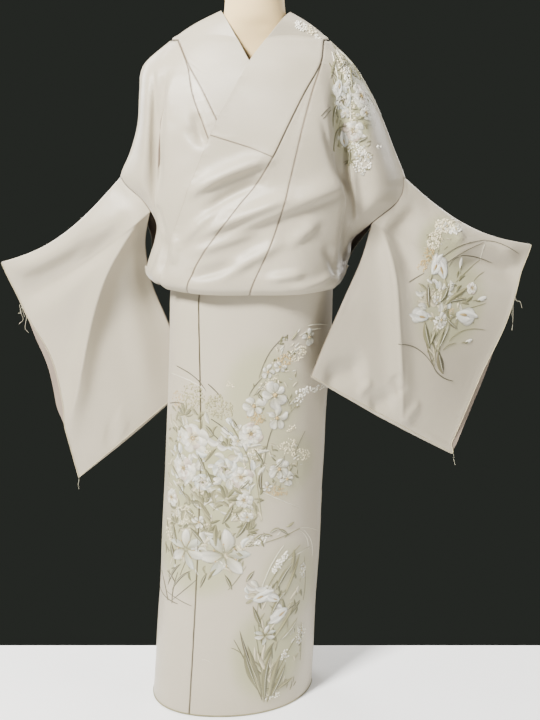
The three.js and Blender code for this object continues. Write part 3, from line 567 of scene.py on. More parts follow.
def clothPiece(name, points, kept=None, round=False, seam=None):
    rows, columns = points.shape[:2]
    number = np.arange(rows * columns).reshape(rows, columns)
    right = np.roll(number, -1, axis=1) if round else number[:, 1:]
    left = number if round else number[:, :-1]
    faces = np.stack([left[:-1], left[1:], right[1:], right[:-1]], axis=-1)
    if kept is not None:
        faces = faces[kept]
    faces = faces.reshape(-1, 4)
    used = np.unique(faces)
    place = np.zeros(rows * columns, int)
    place[used] = np.arange(len(used))
    flat = np.stack([distances(points, 1), distances(points, 0)], axis=-1) / 1000
    seamAway = flat[..., 0] * 0 + 1 if seam is None else seam / 1000
    normals = gridNormals(points, round)
    pick = lambda grid, size: grid.reshape(rows * columns, size)[used]
    piece = makeMesh(name, pick(toFrame(points), 3), place[faces], (silk, shadedSilkReverse),
                     {"seam": pick(seamAway, 1), "dye": pick(dyedShare(points, normals), 1)}, pick(flat, 2))
    shell = piece.modifiers.new("thickness", "SOLIDIFY")
    shell.thickness = cloth["thickness"] / 1000
    shell.offset = -1
    # the inner faces take the reverse material, painted darker as shade
    shell.material_offset = 1
    shell.use_even_offset = False
    sheets[name] = {"points": points, "normals": normals}
    return piece


def fromEdges(points, sides):
    # distance of each point of a grid from its seam edges: "first" and "last" column
    run = distances(points, 1)
    away = np.full(run.shape, 1000.0)
    if "first" in sides:
        away = np.minimum(away, run)
    if "last" in sides:
        away = np.minimum(away, run[:, -1:] - run)
    return away


def bridge(before, after, outwards, count=3):
    # columns that round off the space between two edges
    share = np.linspace(0, 1, count + 2)[1:-1]
    width = np.linalg.norm(after - before, axis=-1, keepdims=True)
    cells = [before * (1 - s) + after * s + outwards * width * 0.5 * math.sin(math.pi * s) for s in share]
    return np.stack(cells, axis=1)


def underDepths(rows):
    # how far the lower front lies behind the upper one, less towards the shoulders
    return cloth["underDepth"] * smooth(0, 1, rows)[:, None]


bodyShape = {"front": 64, "back": 52, "coverFrom": 0.1, "coverFull": 0.42, "openShare": 0.55,
             "armFrom": 5, "armTo": 10}


def bodySide(side):
    rows, end = upperRows, (lastStation if side > 0 else 0.0)
    shares, backShares = spread(bodyShape["front"]), spread(bodyShape["back"])
    seam = seamStation("frontSeam" if side > 0 else "underFrontSeam", rows, side * cloth["seamSide"])
    q = seam[:, None] + (end - seam[:, None]) * shares[None, :]
    t = np.broadcast_to(rows[:, None], q.shape)
    front, normals = frontPoint(q, t), frontNormal(q, t)
    sink = np.zeros(q.shape)
    if side < 0:
        sink = underDepths(rows) * smooth(bodyShape["coverFrom"], bodyShape["coverFull"], 1 - shares)[None, :]
    away = distances(front, 1)
    front = front + normals * (upperRelief(front) + seamGroove(away) - sink)[..., None]
    u, t = np.broadcast_arrays(backShares[None, :], rows[:, None])
    back = backPoint(side, u, t)
    backAway = fromEdges(back, ("last",))
    back = back + backNormal(side, u, t) * (upperRelief(back) + seamGroove(backAway))[..., None]
    outwards = np.zeros((len(rows), 3))
    outwards[:, 0] = side
    points = np.concatenate([front, bridge(front[:, -1], back[:, 0], outwards), back], axis=1)
    points = rolled(points, rows)
    joined = (rows[:-1] < bodyShape["armFrom"]) | (rows[:-1] >= bodyShape["armTo"])
    kept = np.ones((len(rows) - 1, points.shape[1] - 1), bool)
    last = len(shares) - 1
    kept[~joined, last:last + 4] = False
    if side < 0:
        covered = np.arange(kept.shape[1]) < int(bodyShape["openShare"] * len(shares))
        kept &= ~((rows[1:] > underEnd)[:, None] & covered[None, :])
    seamAway = np.concatenate([away, np.full((len(rows), 3), 1000.0), backAway], axis=1)
    if side < 0:
        points, kept, seamAway = points[:, ::-1], kept[:, ::-1], seamAway[:, ::-1]
    return clothPiece("bodyLeft" if side > 0 else "bodyRight", points, kept, seam=seamAway)


def overlapUpper(name, fromKey, toKey, rows, depth):
    low = seamStation(fromKey, rows, cloth["seamSide"])
    high = seamStation(toKey, rows, -cloth["seamSide"])
    q = low[:, None] + (high - low)[:, None] * spread(26, length=80)[None, :]
    t = np.broadcast_to(rows[:, None], q.shape)
    points = frontPoint(q, t)
    away = fromEdges(points, ("first", "last"))
    points = points + frontNormal(q, t) * (upperRelief(points) + seamGroove(away) - depth)[..., None]
    return clothPiece(name, rolled(points, rows), seam=away)


skirtLevels = np.arange(958, 12, -7.5)
skirtShape = {"seamAngle": 0.06, "columnAngle": 2.2, "hemZ": 0.4}  # degrees, degrees, millimetres


def skirtPanel(name, fromSeam, toSeam, depth=None, seams=("first", "last")):
    z = np.concatenate([[skirtRows["z"][0], cloth["tieZ"]], skirtLevels, [8, 3, 0]])
    row = skirtAt(z)
    edge = lambda seam: along(skirtSeams[seam], row) if isinstance(seam, str) else seam + 0.0 * z
    low, high = edge(fromSeam) + skirtShape["seamAngle"], edge(toSeam) - skirtShape["seamAngle"]
    turn = abs(high[-1] - low[-1])
    shares = spread(int(turn / skirtShape["columnAngle"]), length=turn * 3)
    angle = low[:, None] + (high - low)[:, None] * shares[None, :]
    height = np.broadcast_to(z[:, None], angle.shape)
    points = skirtPoint(angle, height)
    normals = gridNormals(points)
    away = fromEdges(points, seams)
    sink = 0.0 if depth is None else depth(shares)[None, :]
    points = points + normals * (skirtRelief(points) + seamGroove(away) - sink)[..., None]
    points[-1, :, 2] = skirtShape["hemZ"]
    return clothPiece(name, points, seam=away)


neckTables = {
    "left": [(50, -32, 1386), (66, 2, 1401), (62, 42, 1397), (38, 74, 1387), (0, 86, 1381)],
    "right": [(-47, -30, 1385), (-59, 2, 1403), (-57, 42, 1398), (-36, 74, 1388), (0, 86, 1381)],
}
collarShape = {"crown": 6.0, "endInner": 3.24, "endOuter": 4.02, "frontCount": 16, "backCount": 48,
               "edgeShadowLine": 1.0, "roll": 1.3, "rollAt": 5, "rollWidth": 6,
               "lineBelow": 1290, "foldedIn": 0.012}


def collarChest(rows, seamKey, freeKey, sign, shares):
    row = np.minimum(rows, lastRow)
    seam = seamStation(seamKey, row, -sign * cloth["seamSide"])
    free = seamStation(freeKey, row)
    q = seam[:, None] + (free - seam)[:, None] * shares[None, :]
    t = np.broadcast_to(rows[:, None], q.shape)
    points, normals = frontPoint(q, t), frontNormal(q, t)
    return points, normals, upperRelief(points) - (0.0 if sign > 0 else underDepths(rows))


def collarNeck(side, seamKey, freeKey, table, shares):
    seam = seamStation(seamKey, np.array([0.0]), -side * cloth["seamSide"])[0]
    end = lastStation if side > 0 else 0.0
    q = np.linspace(seam, end, collarShape["frontCount"] + 1)[1:]
    u = np.linspace(0, 1, collarShape["backCount"] + 1)
    path = np.concatenate([frontPoint(q, 0 * q), backPoint(side, u, 0 * u)])
    free = frontPoint(seamStation(freeKey, np.array([0.0])), np.array([0.0]))
    neck = np.concatenate([free, np.array(table, float)])
    # the coarse path of the solid sets how far round the neck each row lies
    coarse = 12
    place = np.concatenate([np.linspace(0, 3, len(q) + 1)[1:], 4 + u * 8]) / coarse * (len(neck) - 1)
    inner = np.stack([along(neck[:, k], place) for k in range(3)], axis=-1)
    start = path + (inner - path) * collarShape["foldedIn"]
    points = start[:, None, :] + (inner - start)[:, None, :] * shares[None, :, None]
    points[..., 2] += collarShape["crown"] * np.sin(math.pi * shares)[None, :]
    return points


def collarGrid(shares):
    left = collarChest(upperRows[::-1], "collarSeam", "free", 1, shares)
    right = collarChest(underRows, "underCollarSeam", "underFree", -1, shares)
    neckLeft = collarNeck(1, "collarSeam", "free", neckTables["left"], shares)
    neckRight = collarNeck(-1, "underCollarSeam", "underFree", neckTables["right"], shares)[::-1][1:]
    points = np.concatenate([left[0], neckLeft, neckRight, right[0]])
    base = gridNormals(points)
    rows = np.concatenate([upperRows[::-1], np.full(len(neckLeft) + len(neckRight), -1.0), underRows])
    given = np.concatenate([left[1], base[len(left[0]):-len(right[0])], right[1]])
    blend = (rows > 0.35)[:, None, None]
    normals = np.where(blend, given, base)
    relief = np.concatenate([left[2], np.zeros((len(neckLeft) + len(neckRight), len(shares))), right[2]])
    return rows, points, unit(normals), relief


def makeCollar():
    shares = spread(30, length=110)
    rows, points, normals, relief = collarGrid(shares)
    away = fromEdges(points, ("first",))
    points = points + normals * (relief + seamGroove(away))[..., None]
    chest = len(upperRows)
    points[:chest] = rolled(points[:chest][::-1], upperRows)[::-1]
    # the painted shadow line also runs along the free edge, a little weaker for the offset
    away[:chest] = np.minimum(away[:chest], fromEdges(points, ("last",))[:chest] + collarShape["edgeShadowLine"])
    return clothPiece("collar", points, seam=away)


def makeOverCollar():
    shares = spread(30, length=110)
    rows, points, normals, relief = collarGrid(shares)
    end = collarShape["endOuter"] + (collarShape["endInner"] - collarShape["endOuter"]) * shares
    first = int(np.argmax((rows >= 0) & (rows < collarShape["endInner"])))
    within = (rows <= collarShape["endOuter"]) & (np.arange(len(rows)) > first)
    last = len(rows) - int(np.argmax(within[::-1]))
    start = rows[first]
    # slanted rows from the end edge up to the first level row
    cut = np.concatenate([[0, 0.01, 0.03], np.linspace(0.06, 1, 14)[:-1]])
    t = end[None, :] + (start - end[None, :]) * cut[:, None]
    seam = seamStation("collarSeam", t.ravel(), -cloth["seamSide"]).reshape(t.shape)
    free = seamStation("free", t.ravel()).reshape(t.shape)
    q = seam + (free - seam) * shares[None, :]
    slant, slantNormal = frontPoint(q, t), frontNormal(q, t)
    slantRelief = upperRelief(slant)
    grid = np.concatenate([slant, points[first:last]])
    gridNormal = np.concatenate([slantNormal, normals[first:last]])
    lift = np.concatenate([slantRelief, relief[first:last]])
    # distance from the seam edge and from the slanted end; it sets the groove and the painted shadow line
    # under the end
    away = np.minimum(fromEdges(grid, ("first",)), distances(grid, 0))
    # the outer edge is rolled over and stands up most on the shoulders
    neckRow = np.concatenate([np.zeros(len(slant), bool), rows[first:last] < 0])
    roll = smooth(0, 20, np.convolve(neckRow, np.ones(25) / 25, mode="same") * 20)
    run = distances(grid, 1)
    edgeRoll = roll[:, None] * collarShape["roll"]
    edgeRoll = edgeRoll * np.exp(-((run - collarShape["rollAt"]) / collarShape["rollWidth"]) ** 2)
    grid = grid + gridNormal * (lift + cloth["layRise"] + edgeRoll + seamGroove(away, 0.9, 2.2))[..., None]
    # the painted shadow line also runs along the free edge over the chest, a little weaker for the offset
    chestRow = grid[:, -1, 2] < collarShape["lineBelow"]
    away[chestRow] = np.minimum(away, fromEdges(grid, ("last",)) + collarShape["edgeShadowLine"])[chestRow]
    return clothPiece("overCollar", grid, seam=away)


# "parted" is where down the cuff the layers part, from, full, ebbing, gone, and by how many millimetres
sleeveTables = {
    "left": {
        "side": 1, "joinEnd": 7.0, "joinShare": 0.2, "parted": (0.3, 0.6, 0.94, 1.0, 3, 12),
        "inner": [(226, -22, 1020), (204, -60, 956), (168, -100, 884), (136, -112, 812), (108, -116, 740)],
        "rear": [(250, 58, 1020), (218, -10, 960), (174, -82, 884), (138, -100, 812), (108, -110, 740)],
        "outer": [(564, 100, 957), (526, 70, 842), (487, 40, 735), (446, 14, 638), (405, -10, 543)],
        "folds": tableOf("fromU fromW toU toW width height", """
            0.03 0.16 0.62 1.0 0.06 9; 0.25 0.05 0.98 0.02 0.07 12; 0.55 0.15 1.0 0.11 0.06 -13;
            0.06 0.1 0.34 0.36 0.06 -10; 0.08 0.98 0.26 0.84 0.07 -11; 0.4 0.99 0.5 0.9 0.05 -7"""),
        "fineFolds": tableOf("fromU fromW toU toW width height", """
            0.03 0.16 0.62 1.0 0.009 3.2; 0.36 0.015 0.46 0.1 0.03 4; 0.74 0.03 0.95 0.09 0.025 3;
            0.44 0.8 0.52 0.87 0.03 -5; 0.62 0.98 0.66 0.86 0.03 4; 0.3 0.97 0.33 0.88 0.025 4"""),
    },
    "right": {
        "side": -1, "joinEnd": 6.5, "joinShare": 0.16, "parted": (0.2, 0.42, 0.68, 0.8, 9, 7),
        "inner": [(-200, -15, 1040), (-218, 40, 968), (-214, 90, 880), (-180, 112, 776), (-146, 122, 650)],
        "rear": [(-232, 52, 1040), (-224, 76, 968), (-216, 104, 880), (-181, 122, 776), (-146, 128, 650)],
        "outer": [(-524, 100, 920), (-478, 98, 806), (-436, 98, 704), (-416, 99, 580), (-390, 100, 445)],
        "folds": tableOf("fromU fromW toU toW width height", """
            0.02 0.12 0.98 0.79 0.085 17; 0.1 0.04 0.98 0.04 0.06 13; 0.25 0.15 0.98 0.17 0.07 -19;
            0.05 0.22 0.32 0.95 0.12 7"""),
        "fineFolds": tableOf("fromU fromW toU toW width height", """
            0.05 0.14 0.9 0.73 0.02 3; 0.1 0.07 0.5 0.12 0.03 4; 0.3 0.1 0.9 0.1 0.03 -4;
            0.55 0.98 0.58 0.9 0.05 2; 0.66 0.99 0.7 0.92 0.05 -2"""),
    },
}
sleeveShape = {"sag": 30.0, "rim": 4.0, "belly": 22.0, "cuffBelly": 8.0, "setOff": 0.6,
               "showBehind": 6.0, "columns": 96, "rows": 110}


def shareFolds(folds, u, w):
    total = np.zeros_like(u, float)
    for fromU, fromW, toU, toW, width, height in zip(*folds.values()):
        du, dw = toU - fromU, toW - fromW
        place = ((u - fromU) * du + (w - fromW) * dw) / (du * du + dw * dw)
        nearest = np.clip(place, 0, 1)
        far = np.hypot(u - fromU - du * nearest, w - fromW - dw * nearest)
        fade = smooth(-0.15, 0.25, place) * smooth(-0.15, 0.25, 1 - place)
        total += height * fade * np.exp(-((far / width) ** 2))
    return total


def column3(points, share):
    # a place along a table of points, at a share from 0 to 1
    points = np.asarray(points, float)
    return np.stack([along(points[:, k], share * (len(points) - 1)) for k in range(3)], axis=-1)


def sleevePoints(table, u, w, rear):
    side, shape = table["side"], sleeveShape
    outAt = lambda share: column3(table["outer"], share)
    low = np.array(table["inner"][-1], float)
    front = np.cross(outAt(np.array(0.0)) - outAt(np.array(1.0)), outAt(np.array(0.0)) - low)
    front = unit(front * (-1 if front[1] > 0 else 1))
    way = -1 if rear else 1
    share = table["joinShare"]
    first = bodyShape["armFrom"]
    t = first + (table["joinEnd"] - first) * np.minimum(w / share, 1)
    edge = backPoint(side, 0 * t, t) if rear else frontPoint((lastStation if side > 0 else 0.0) + 0 * t, t)
    edge = edge + np.array([side * shape["setOff"], 0, -shape["setOff"]])
    free = column3(table["rear" if rear else "inner"], np.clip((w - share) / (1 - share), 0, 1))
    start = np.where((w <= share)[..., None], edge, free)
    end = outAt(w) + front * way * shape["rim"] / 2
    points = start + (end - start) * u[..., None]
    fall = np.maximum(1 - w / 0.5, 0) ** 2
    points[..., 2] -= shape["sag"] * np.sin(math.pi * u) * fall
    opening = np.sin(math.pi * w) ** 0.8
    belly = (shape["belly"] * np.sin(math.pi * np.minimum(u, 0.98)) + shape["cuffBelly"] * u) * opening / 2
    fold = shareFolds(table["folds"], u, w) * smooth(0, 0.12, u)
    fine = shareFolds(table["fineFolds"], u, w) * smooth(0, 0.1, u)
    fine = fine * smooth(0, 0.05, w) * smooth(0, 0.03, 1 - w)
    height, size = uneven["sleeve"]
    slow = height * wander(points[..., 0], points[..., 2], size)
    fine = fine + slow * smooth(0, 0.1, u) * np.sin(math.pi * w)
    points = points + front * (way * belly + fold + fine * (1 if not rear else -0.8))[..., None]
    # the back layer stands out past the front one at the lower cuff and along the bottom
    start, full, ebb, gone, outwards, inwards = table["parted"]
    parted = smooth(start, full, w) * (1 - smooth(ebb, gone, w)) * smooth(0.55, 1, u)
    points[..., 0] += side * parted * (outwards if rear else -inwards)
    if rear:
        points[..., 2] -= shape["showBehind"] * smooth(0.9, 1, w) * np.sin(math.pi * np.clip(u, 0, 1))
    return points


def makeSleeve(name, key):
    table = sleeveTables[key]
    side, share = table["side"], table["joinShare"]
    below = np.linspace(share, 1, sleeveShape["rows"] - 25)[1:-1]
    down = np.concatenate([np.linspace(0, share, 26), below, [0.994, 0.998, 1]])
    inner = np.linspace(0.012, 0.985, sleeveShape["columns"])
    across = np.concatenate([[0, 0.004], inner, [0.992, 0.997, 1]])
    u, w = np.broadcast_arrays(across[:, None], down[None, :])
    front, back = sleevePoints(table, u, w, False), sleevePoints(table, u, w, True)[:, ::-1]
    bottomOut = unit(front[:, -1] - front[:, -4])
    topOut = unit(front[:, 0] - front[:, 4])
    bottom, top = bridge(front[:, -1], back[:, 0], bottomOut), bridge(back[:, -1], front[:, 0], topOut)
    points = np.concatenate([front, bottom, back, top], axis=1)
    if side > 0:
        points = points[::-1]
    run = distances(points, 0)
    away = run if side < 0 else run[-1:] - run
    cuff = run[-1:] - run if side < 0 else run
    points = points + gridNormals(points, True) * seamGroove(np.minimum(away, cuff + 1.5), 0.5)[..., None]
    piece = clothPiece(name, points, round=True, seam=np.minimum(away, cuff))
    sheets[name]["front"] = front if side < 0 else front[::-1]
    return piece


# The pieces of cloth, in the order in which they are laid on the form
bodyLeft, bodyRight = bodySide(1), bodySide(-1)
overlapLeft = overlapUpper("overlapLeft", "collarSeam", "frontSeam", upperRows, 0.0)
overlapRight = overlapUpper("overlapRight", "underFrontSeam", "underCollarSeam", underRows,
                            underDepths(underRows))
print("upper half draped")
skirtLeft = skirtPanel("skirtLeft", "overSeam", 180)
skirtRight = skirtPanel("skirtRight", -180, "underSeam", lambda s: cloth["underDepth"] * smooth(0.3, 0.42, s))
skirtOverlapLeft = skirtPanel("skirtOverlapLeft", "free", "overSeam", seams=("last",))
skirtOverlapRight = skirtPanel("skirtOverlapRight", "underSeam", "underFree",
                               lambda s: cloth["underDepth"] + 0 * s, ("first",))
print("skirt wrapped")
collarPiece, overCollar = makeCollar(), makeOverCollar()
print("collars laid")
sleeveLeft, sleeveRight = makeSleeve("sleeveLeft", "left"), makeSleeve("sleeveRight", "right")
print("sleeves hung")

# The dress form: the solid's own rings, made smooth
formLook = {
    "jersey": (0.76, 0.60, 0.33), "jerseyDark": (0.70, 0.50, 0.235), "jerseyLight": (0.75, 0.555, 0.28),
    "ribScale": 420.0, "knitScale": 1800.0, "knitHeight": 0.00012,
    "steel": (0.035, 0.035, 0.038), "steelDark": (0.028, 0.028, 0.03), "steelLight": (0.055, 0.055, 0.058),
    "brushStretch": (900.0, 900.0, 24.0), "brushHeight": 0.00006, "sides": 72, "middle": 2.0, "cap": 3.0,
}
formRows = tableOf("z half front back y", """
    800 108 74 72 0; 830 124 84 84 0; 900 132 90 90 0; 990 124 86 78 0; 1080 134 100 78 0;
    1160 146 104 86 0; 1230 158 84 96 4; 1280 164 62 90 8; 1312 154 48 68 10; 1336 136 44 50 10;
    1356 106 42 46 8; 1376 72 44 46 6; 1396 58 48 46 4; 1430 54 50 48 4; 1468 54 52 50 2; 1482 49 47 45 2;
    1488 36 34 33 2""")


def jerseyMaterial():
    shader = Shader("form jersey", formLook["jersey"], 0.62, Sheen_Weight=0.15, Specular_IOR_Level=0.35)
    spot = shader.spot("Object")
    cloudy = shader.noise(spot, 14.0, 3.0)
    shader.finish("Base Color", shader.mix(cloudy, formLook["jerseyDark"], formLook["jerseyLight"]))
    ribs = shader.add("ShaderNodeTexWave", {"Scale": formLook["ribScale"], "Distortion": 0.4})
    shader.join(spot, ribs.inputs["Vector"])
    knit = shader.maths("ADD", ribs.outputs["Fac"], shader.noise(spot, formLook["knitScale"]))
    shader.finish("Normal", shader.bump(knit, formLook["knitHeight"]))
    shader.finish("Roughness", shader.ramp(cloudy, 0.12, 0.55))
    return shader.material


def steelMaterial():
    shader = Shader("satin steel", formLook["steel"], 0.4, Metallic=0.6)
    spot = shader.spot("Object")
    brushed = shader.noise(shader.stretched(spot, formLook["brushStretch"]), 1.0, 3.0)
    worn = shader.noise(spot, 40.0, 4.0)
    shader.finish("Base Color", shader.mix(worn, formLook["steelDark"], formLook["steelLight"]))
    shader.finish("Roughness", shader.ramp(brushed, 0.22, 0.28))
    shader.finish("Normal", shader.bump(brushed, formLook["brushHeight"]))
    return shader.material


def makeForm():
    count = len(formRows["z"])
    t = np.concatenate([np.arange(0, count - 1, 0.25), [count - 1]])
    at = {key: along(values, t)[:, None] for key, values in formRows.items()}
    angle = np.linspace(0, 2 * math.pi, formLook["sides"], endpoint=False)[None, :]
    depth = np.where(np.cos(angle) > 0, at["front"], at["back"])
    points = np.stack([formLook["middle"] + at["half"] * np.sin(angle), at["y"] - depth * np.cos(angle),
                       at["z"] + 0 * angle], axis=-1)
    sides, rings = formLook["sides"], len(t)
    number = np.arange(rings * sides).reshape(rings, sides)
    turned = np.roll(number, -1, axis=1)
    faces = np.stack([number[:-1], turned[:-1], turned[1:], number[1:]], axis=-1).reshape(-1, 4).tolist()
    tops = [[formLook["middle"], formRows["y"][0], formRows["z"][0]],
            [formLook["middle"], formRows["y"][-1], formRows["z"][-1] + formLook["cap"]]]
    middle = rings * sides
    faces += [[int(number[0, (j + 1) % sides]), int(number[0, j]), middle] for j in range(sides)]
    faces += [[int(number[-1, j]), int(number[-1, (j + 1) % sides]), middle + 1] for j in range(sides)]
    allPoints = np.concatenate([points.reshape(-1, 3), np.array(tops, float)])
    return makeMesh("dressForm", toFrame(allPoints), faces, (jerseyMaterial(),))


dressForm = makeForm()
steel = steelMaterial()
for name in ("post", "foot"):
    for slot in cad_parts[name].material_slots:
        slot.material = steel
print("dress form and stand finished")

# Embroidery. Every motif is drawn flat in millimetres and then laid on the finished cloth.
threadTones = {
    "white": ((0.87, 0.84, 0.75), (0.68, 0.645, 0.53)), "cream": ((0.74, 0.67, 0.48), (0.56, 0.49, 0.31)),
    "light": ((0.76, 0.73, 0.61), (0.58, 0.55, 0.41)), "pale": ((0.38, 0.355, 0.20), (0.27, 0.25, 0.13)),
    "sage": ((0.245, 0.235, 0.12), (0.16, 0.15, 0.07)), "olive": ((0.17, 0.15, 0.075), (0.115, 0.098, 0.048)),
    "dark": ((0.135, 0.12, 0.072), (0.09, 0.08, 0.048)), "gold": ((0.47, 0.345, 0.15), (0.34, 0.24, 0.09)),
    "mist": ((0.62, 0.64, 0.57), (0.78, 0.78, 0.70)), "blush": ((0.56, 0.45, 0.36), (0.70, 0.63, 0.52)),
}
threadLook = {"raise": 1.6, "buried": -0.35, "lift": 0.15, "threadWidth": 0.00042, "outline": 0.85,
              "shade": (0.42, 0.40, 0.30), "shadeShare": 0.22, "shadeStretch": (160.0, 2200.0, 1.0),
              "height": 0.00018}


def threadMaterial():
    shader = Shader("embroidery silk", (0.8, 0.8, 0.75), 0.36, Sheen_Weight=0.05, Specular_IOR_Level=0.45,
                    Anisotropic=0.4)
    waves = {"Scale": 0.314 / threadLook["threadWidth"], "Distortion": 1.2, "Detail": 1.0}
    threads = shader.add("ShaderNodeTexWave", waves, bands_direction="Y")
    shader.join(shader.spot("UV"), threads.inputs["Vector"])
    colour = shader.add("ShaderNodeAttribute", attribute_name="thread").outputs["Color"]
    shade = shader.noise(shader.stretched(shader.spot("UV"), threadLook["shadeStretch"]), 1.0)
    darker = shader.mix(threadLook["shadeShare"], colour, threadLook["shade"], "MULTIPLY")
    shader.finish("Base Color", shader.mix(shade, colour, darker))
    shader.finish("Normal", shader.bump(threads.outputs["Fac"], threadLook["height"]))
    shader.finish("Roughness", shader.ramp(shade, 0.2, 0.28))
    return shader.material


threadSilk = threadMaterial()


class LaidCloth:
    # a grid of finished cloth on which motifs are placed
    def __init__(self, points):
        self.points, self.normals = points, gridNormals(points)
        self.size = np.array(points.shape[:2]) - 1

    def at(self, spot):
        spot = np.clip(spot, 0, self.size)
        cell = np.minimum(spot.astype(int), self.size - 1)
        f = spot - cell
        found = []
        for grid in (self.points, self.normals):
            near = [grid[cell[..., 0] + i, cell[..., 1] + j] for i in (0, 1) for j in (0, 1)]
            share = [((1 - f[..., 0]) if i == 0 else f[..., 0]) * ((1 - f[..., 1]) if j == 0 else f[..., 1])
                     for i in (0, 1) for j in (0, 1)]
            found.append(sum(n * s[..., None] for n, s in zip(near, share)))
        return found[0], unit(found[1])

    def start(self, x, z):
        hidden = np.where(self.normals[..., 1] > 0.1, 1e5, 0)
        gap = (self.points[..., 0] - x) ** 2 + (self.points[..., 2] - z) ** 2 + hidden
        return np.array(np.unravel_index(gap.argmin(), gap.shape), float)

    def place(self, targets, first, second, start):
        spot = np.broadcast_to(np.asarray(start, float), (*targets.shape[:-1], 2)).copy()
        axes = np.stack([first, second])
        for _ in range(9):
            here = self.at(spot)[0]
            steps = [self.at(spot + d)[0] - self.at(spot - d)[0] for d in np.array([[0.5, 0], [0, 0.5]])]
            a, b = steps[0] @ axes.T, steps[1] @ axes.T
            miss = (targets - here) @ axes.T
            det = a[..., 0] * b[..., 1] - b[..., 0] * a[..., 1]
            det = np.where(np.abs(det) < 1e-3, 1e-3, det)
            move = np.stack([(miss[..., 0] * b[..., 1] - b[..., 0] * miss[..., 1]) / det,
                             (a[..., 0] * miss[..., 1] - miss[..., 0] * a[..., 1]) / det], axis=-1)
            spot = np.clip(spot + np.clip(move, -6, 6), 0, self.size)
        return self.at(spot)

    def seen(self, x, z):
        # points of the cloth that show at these places from the front
        x, z = np.atleast_1d(x).astype(float), np.atleast_1d(z).astype(float)
        start = np.array([self.start(a, b) for a, b in zip(x, z)])
        targets = np.stack([x, 0 * x, z], axis=-1)
        return self.place(targets, np.array([1.0, 0, 0]), np.array([0, 0, 1.0]), start), start

    def onPicture(self, x, y):
        # where places of the picture fall on the cloth, seen from the front
        depth = np.full(len(x), self.points[..., 1].mean())
        for _ in range(10):
            found = behindPicture(x, y, depth)
            (points, _), _ = self.seen(*found)
            depth = (depth + points[:, 1]) / 2
        return found

    def ofTable(self, rows, keys=("x", "y")):
        # a table's rows with its places of the picture turned into places on the cloth
        columns = dict(rows)
        for i in range(0, len(keys), 2):
            columns[keys[i]], columns[keys[i + 1]] = self.onPicture(rows[keys[i]], rows[keys[i + 1]])
        return zip(*columns.values())


class Stitching:
    # gathers patches of thread on one stretch of cloth into one mesh
    def __init__(self, name, laid):
        self.name, self.laid = name, laid
        self.points, self.colours, self.flat, self.faces, self.count = [], [], [], [], 0

    def patch(self, points, colours, flat):
        rows, columns = points.shape[:2]
        number = np.arange(rows * columns).reshape(rows, columns) + self.count
        faces = np.stack([number[:-1, :-1], number[1:, :-1], number[1:, 1:], number[:-1, 1:]], axis=-1)
        self.points.append(points.reshape(-1, 3))
        self.colours.append(np.concatenate([colours.reshape(-1, 3), np.ones((rows * columns, 1))], axis=-1))
        self.flat.append(flat.reshape(-1, 2))
        self.faces.append(faces.reshape(-1, 4))
        self.count += rows * columns

    def motif(self, x, z, petals):
        # petals: (a, b, lift, colour, flat) grids in millimetres round the place (x, z)
        (point, normal), start = self.laid.seen(x, z)
        point, normal, start = point[0], normal[0], start[0]
        right = unit(np.array([1.0, 0, 0]) - normal * normal[0])
        up = np.cross(normal, right)
        up = up if up[2] > 0 else -up
        for a, b, lift, colour, flat in petals:
            targets = point + a[..., None] * right + b[..., None] * up
            here, facing = self.laid.place(targets, right, up, start)
            self.patch(here + facing * lift[..., None], colour, flat)

    def blade(self, path, width, tone, taper=0.25):
        share = np.linspace(0, 1, 22)
        bow = (1 - share)[:, None] ** 2 * path[0] + 2 * (share * (1 - share))[:, None] * path[1]
        bow = bow + share[:, None] ** 2 * path[2]
        (points, normals), _ = self.laid.seen(bow[:, 0], bow[:, 1])
        sideways = unit(np.cross(normals, np.gradient(points, axis=0)))
        wide = width / 2 * (taper + (1 - taper) * np.sin(math.pi * np.clip(0.12 + share * 0.88, 0, 1)) ** 0.7)
        cells, colours = [], []
        first, last = (np.array(c) for c in threadTones[tone])
        places = np.array([-1.0, -0.45, 0.45, 1.0])
        for v in places:
            lift = threadLook["buried"] if abs(v) == 1 else threadLook["lift"] + 0.35 * width
            cells.append(points + sideways * (wide * v)[:, None] + normals * lift)
            colours.append(first + (last - first) * (0.5 + 0.5 * v))
        points = np.stack(cells, axis=1)
        flat = np.broadcast_arrays(share[:, None] * 0.1, places[None, :] * width / 2000)
        self.patch(points, np.broadcast_to(np.array(colours)[None], points.shape), np.stack(flat, axis=-1))

    def made(self):
        points, faces = toFrame(np.concatenate(self.points)), np.concatenate(self.faces)
        return makeMesh(self.name, points, faces, (threadSilk,), flat=np.concatenate(self.flat),
                        colours=np.concatenate(self.colours))


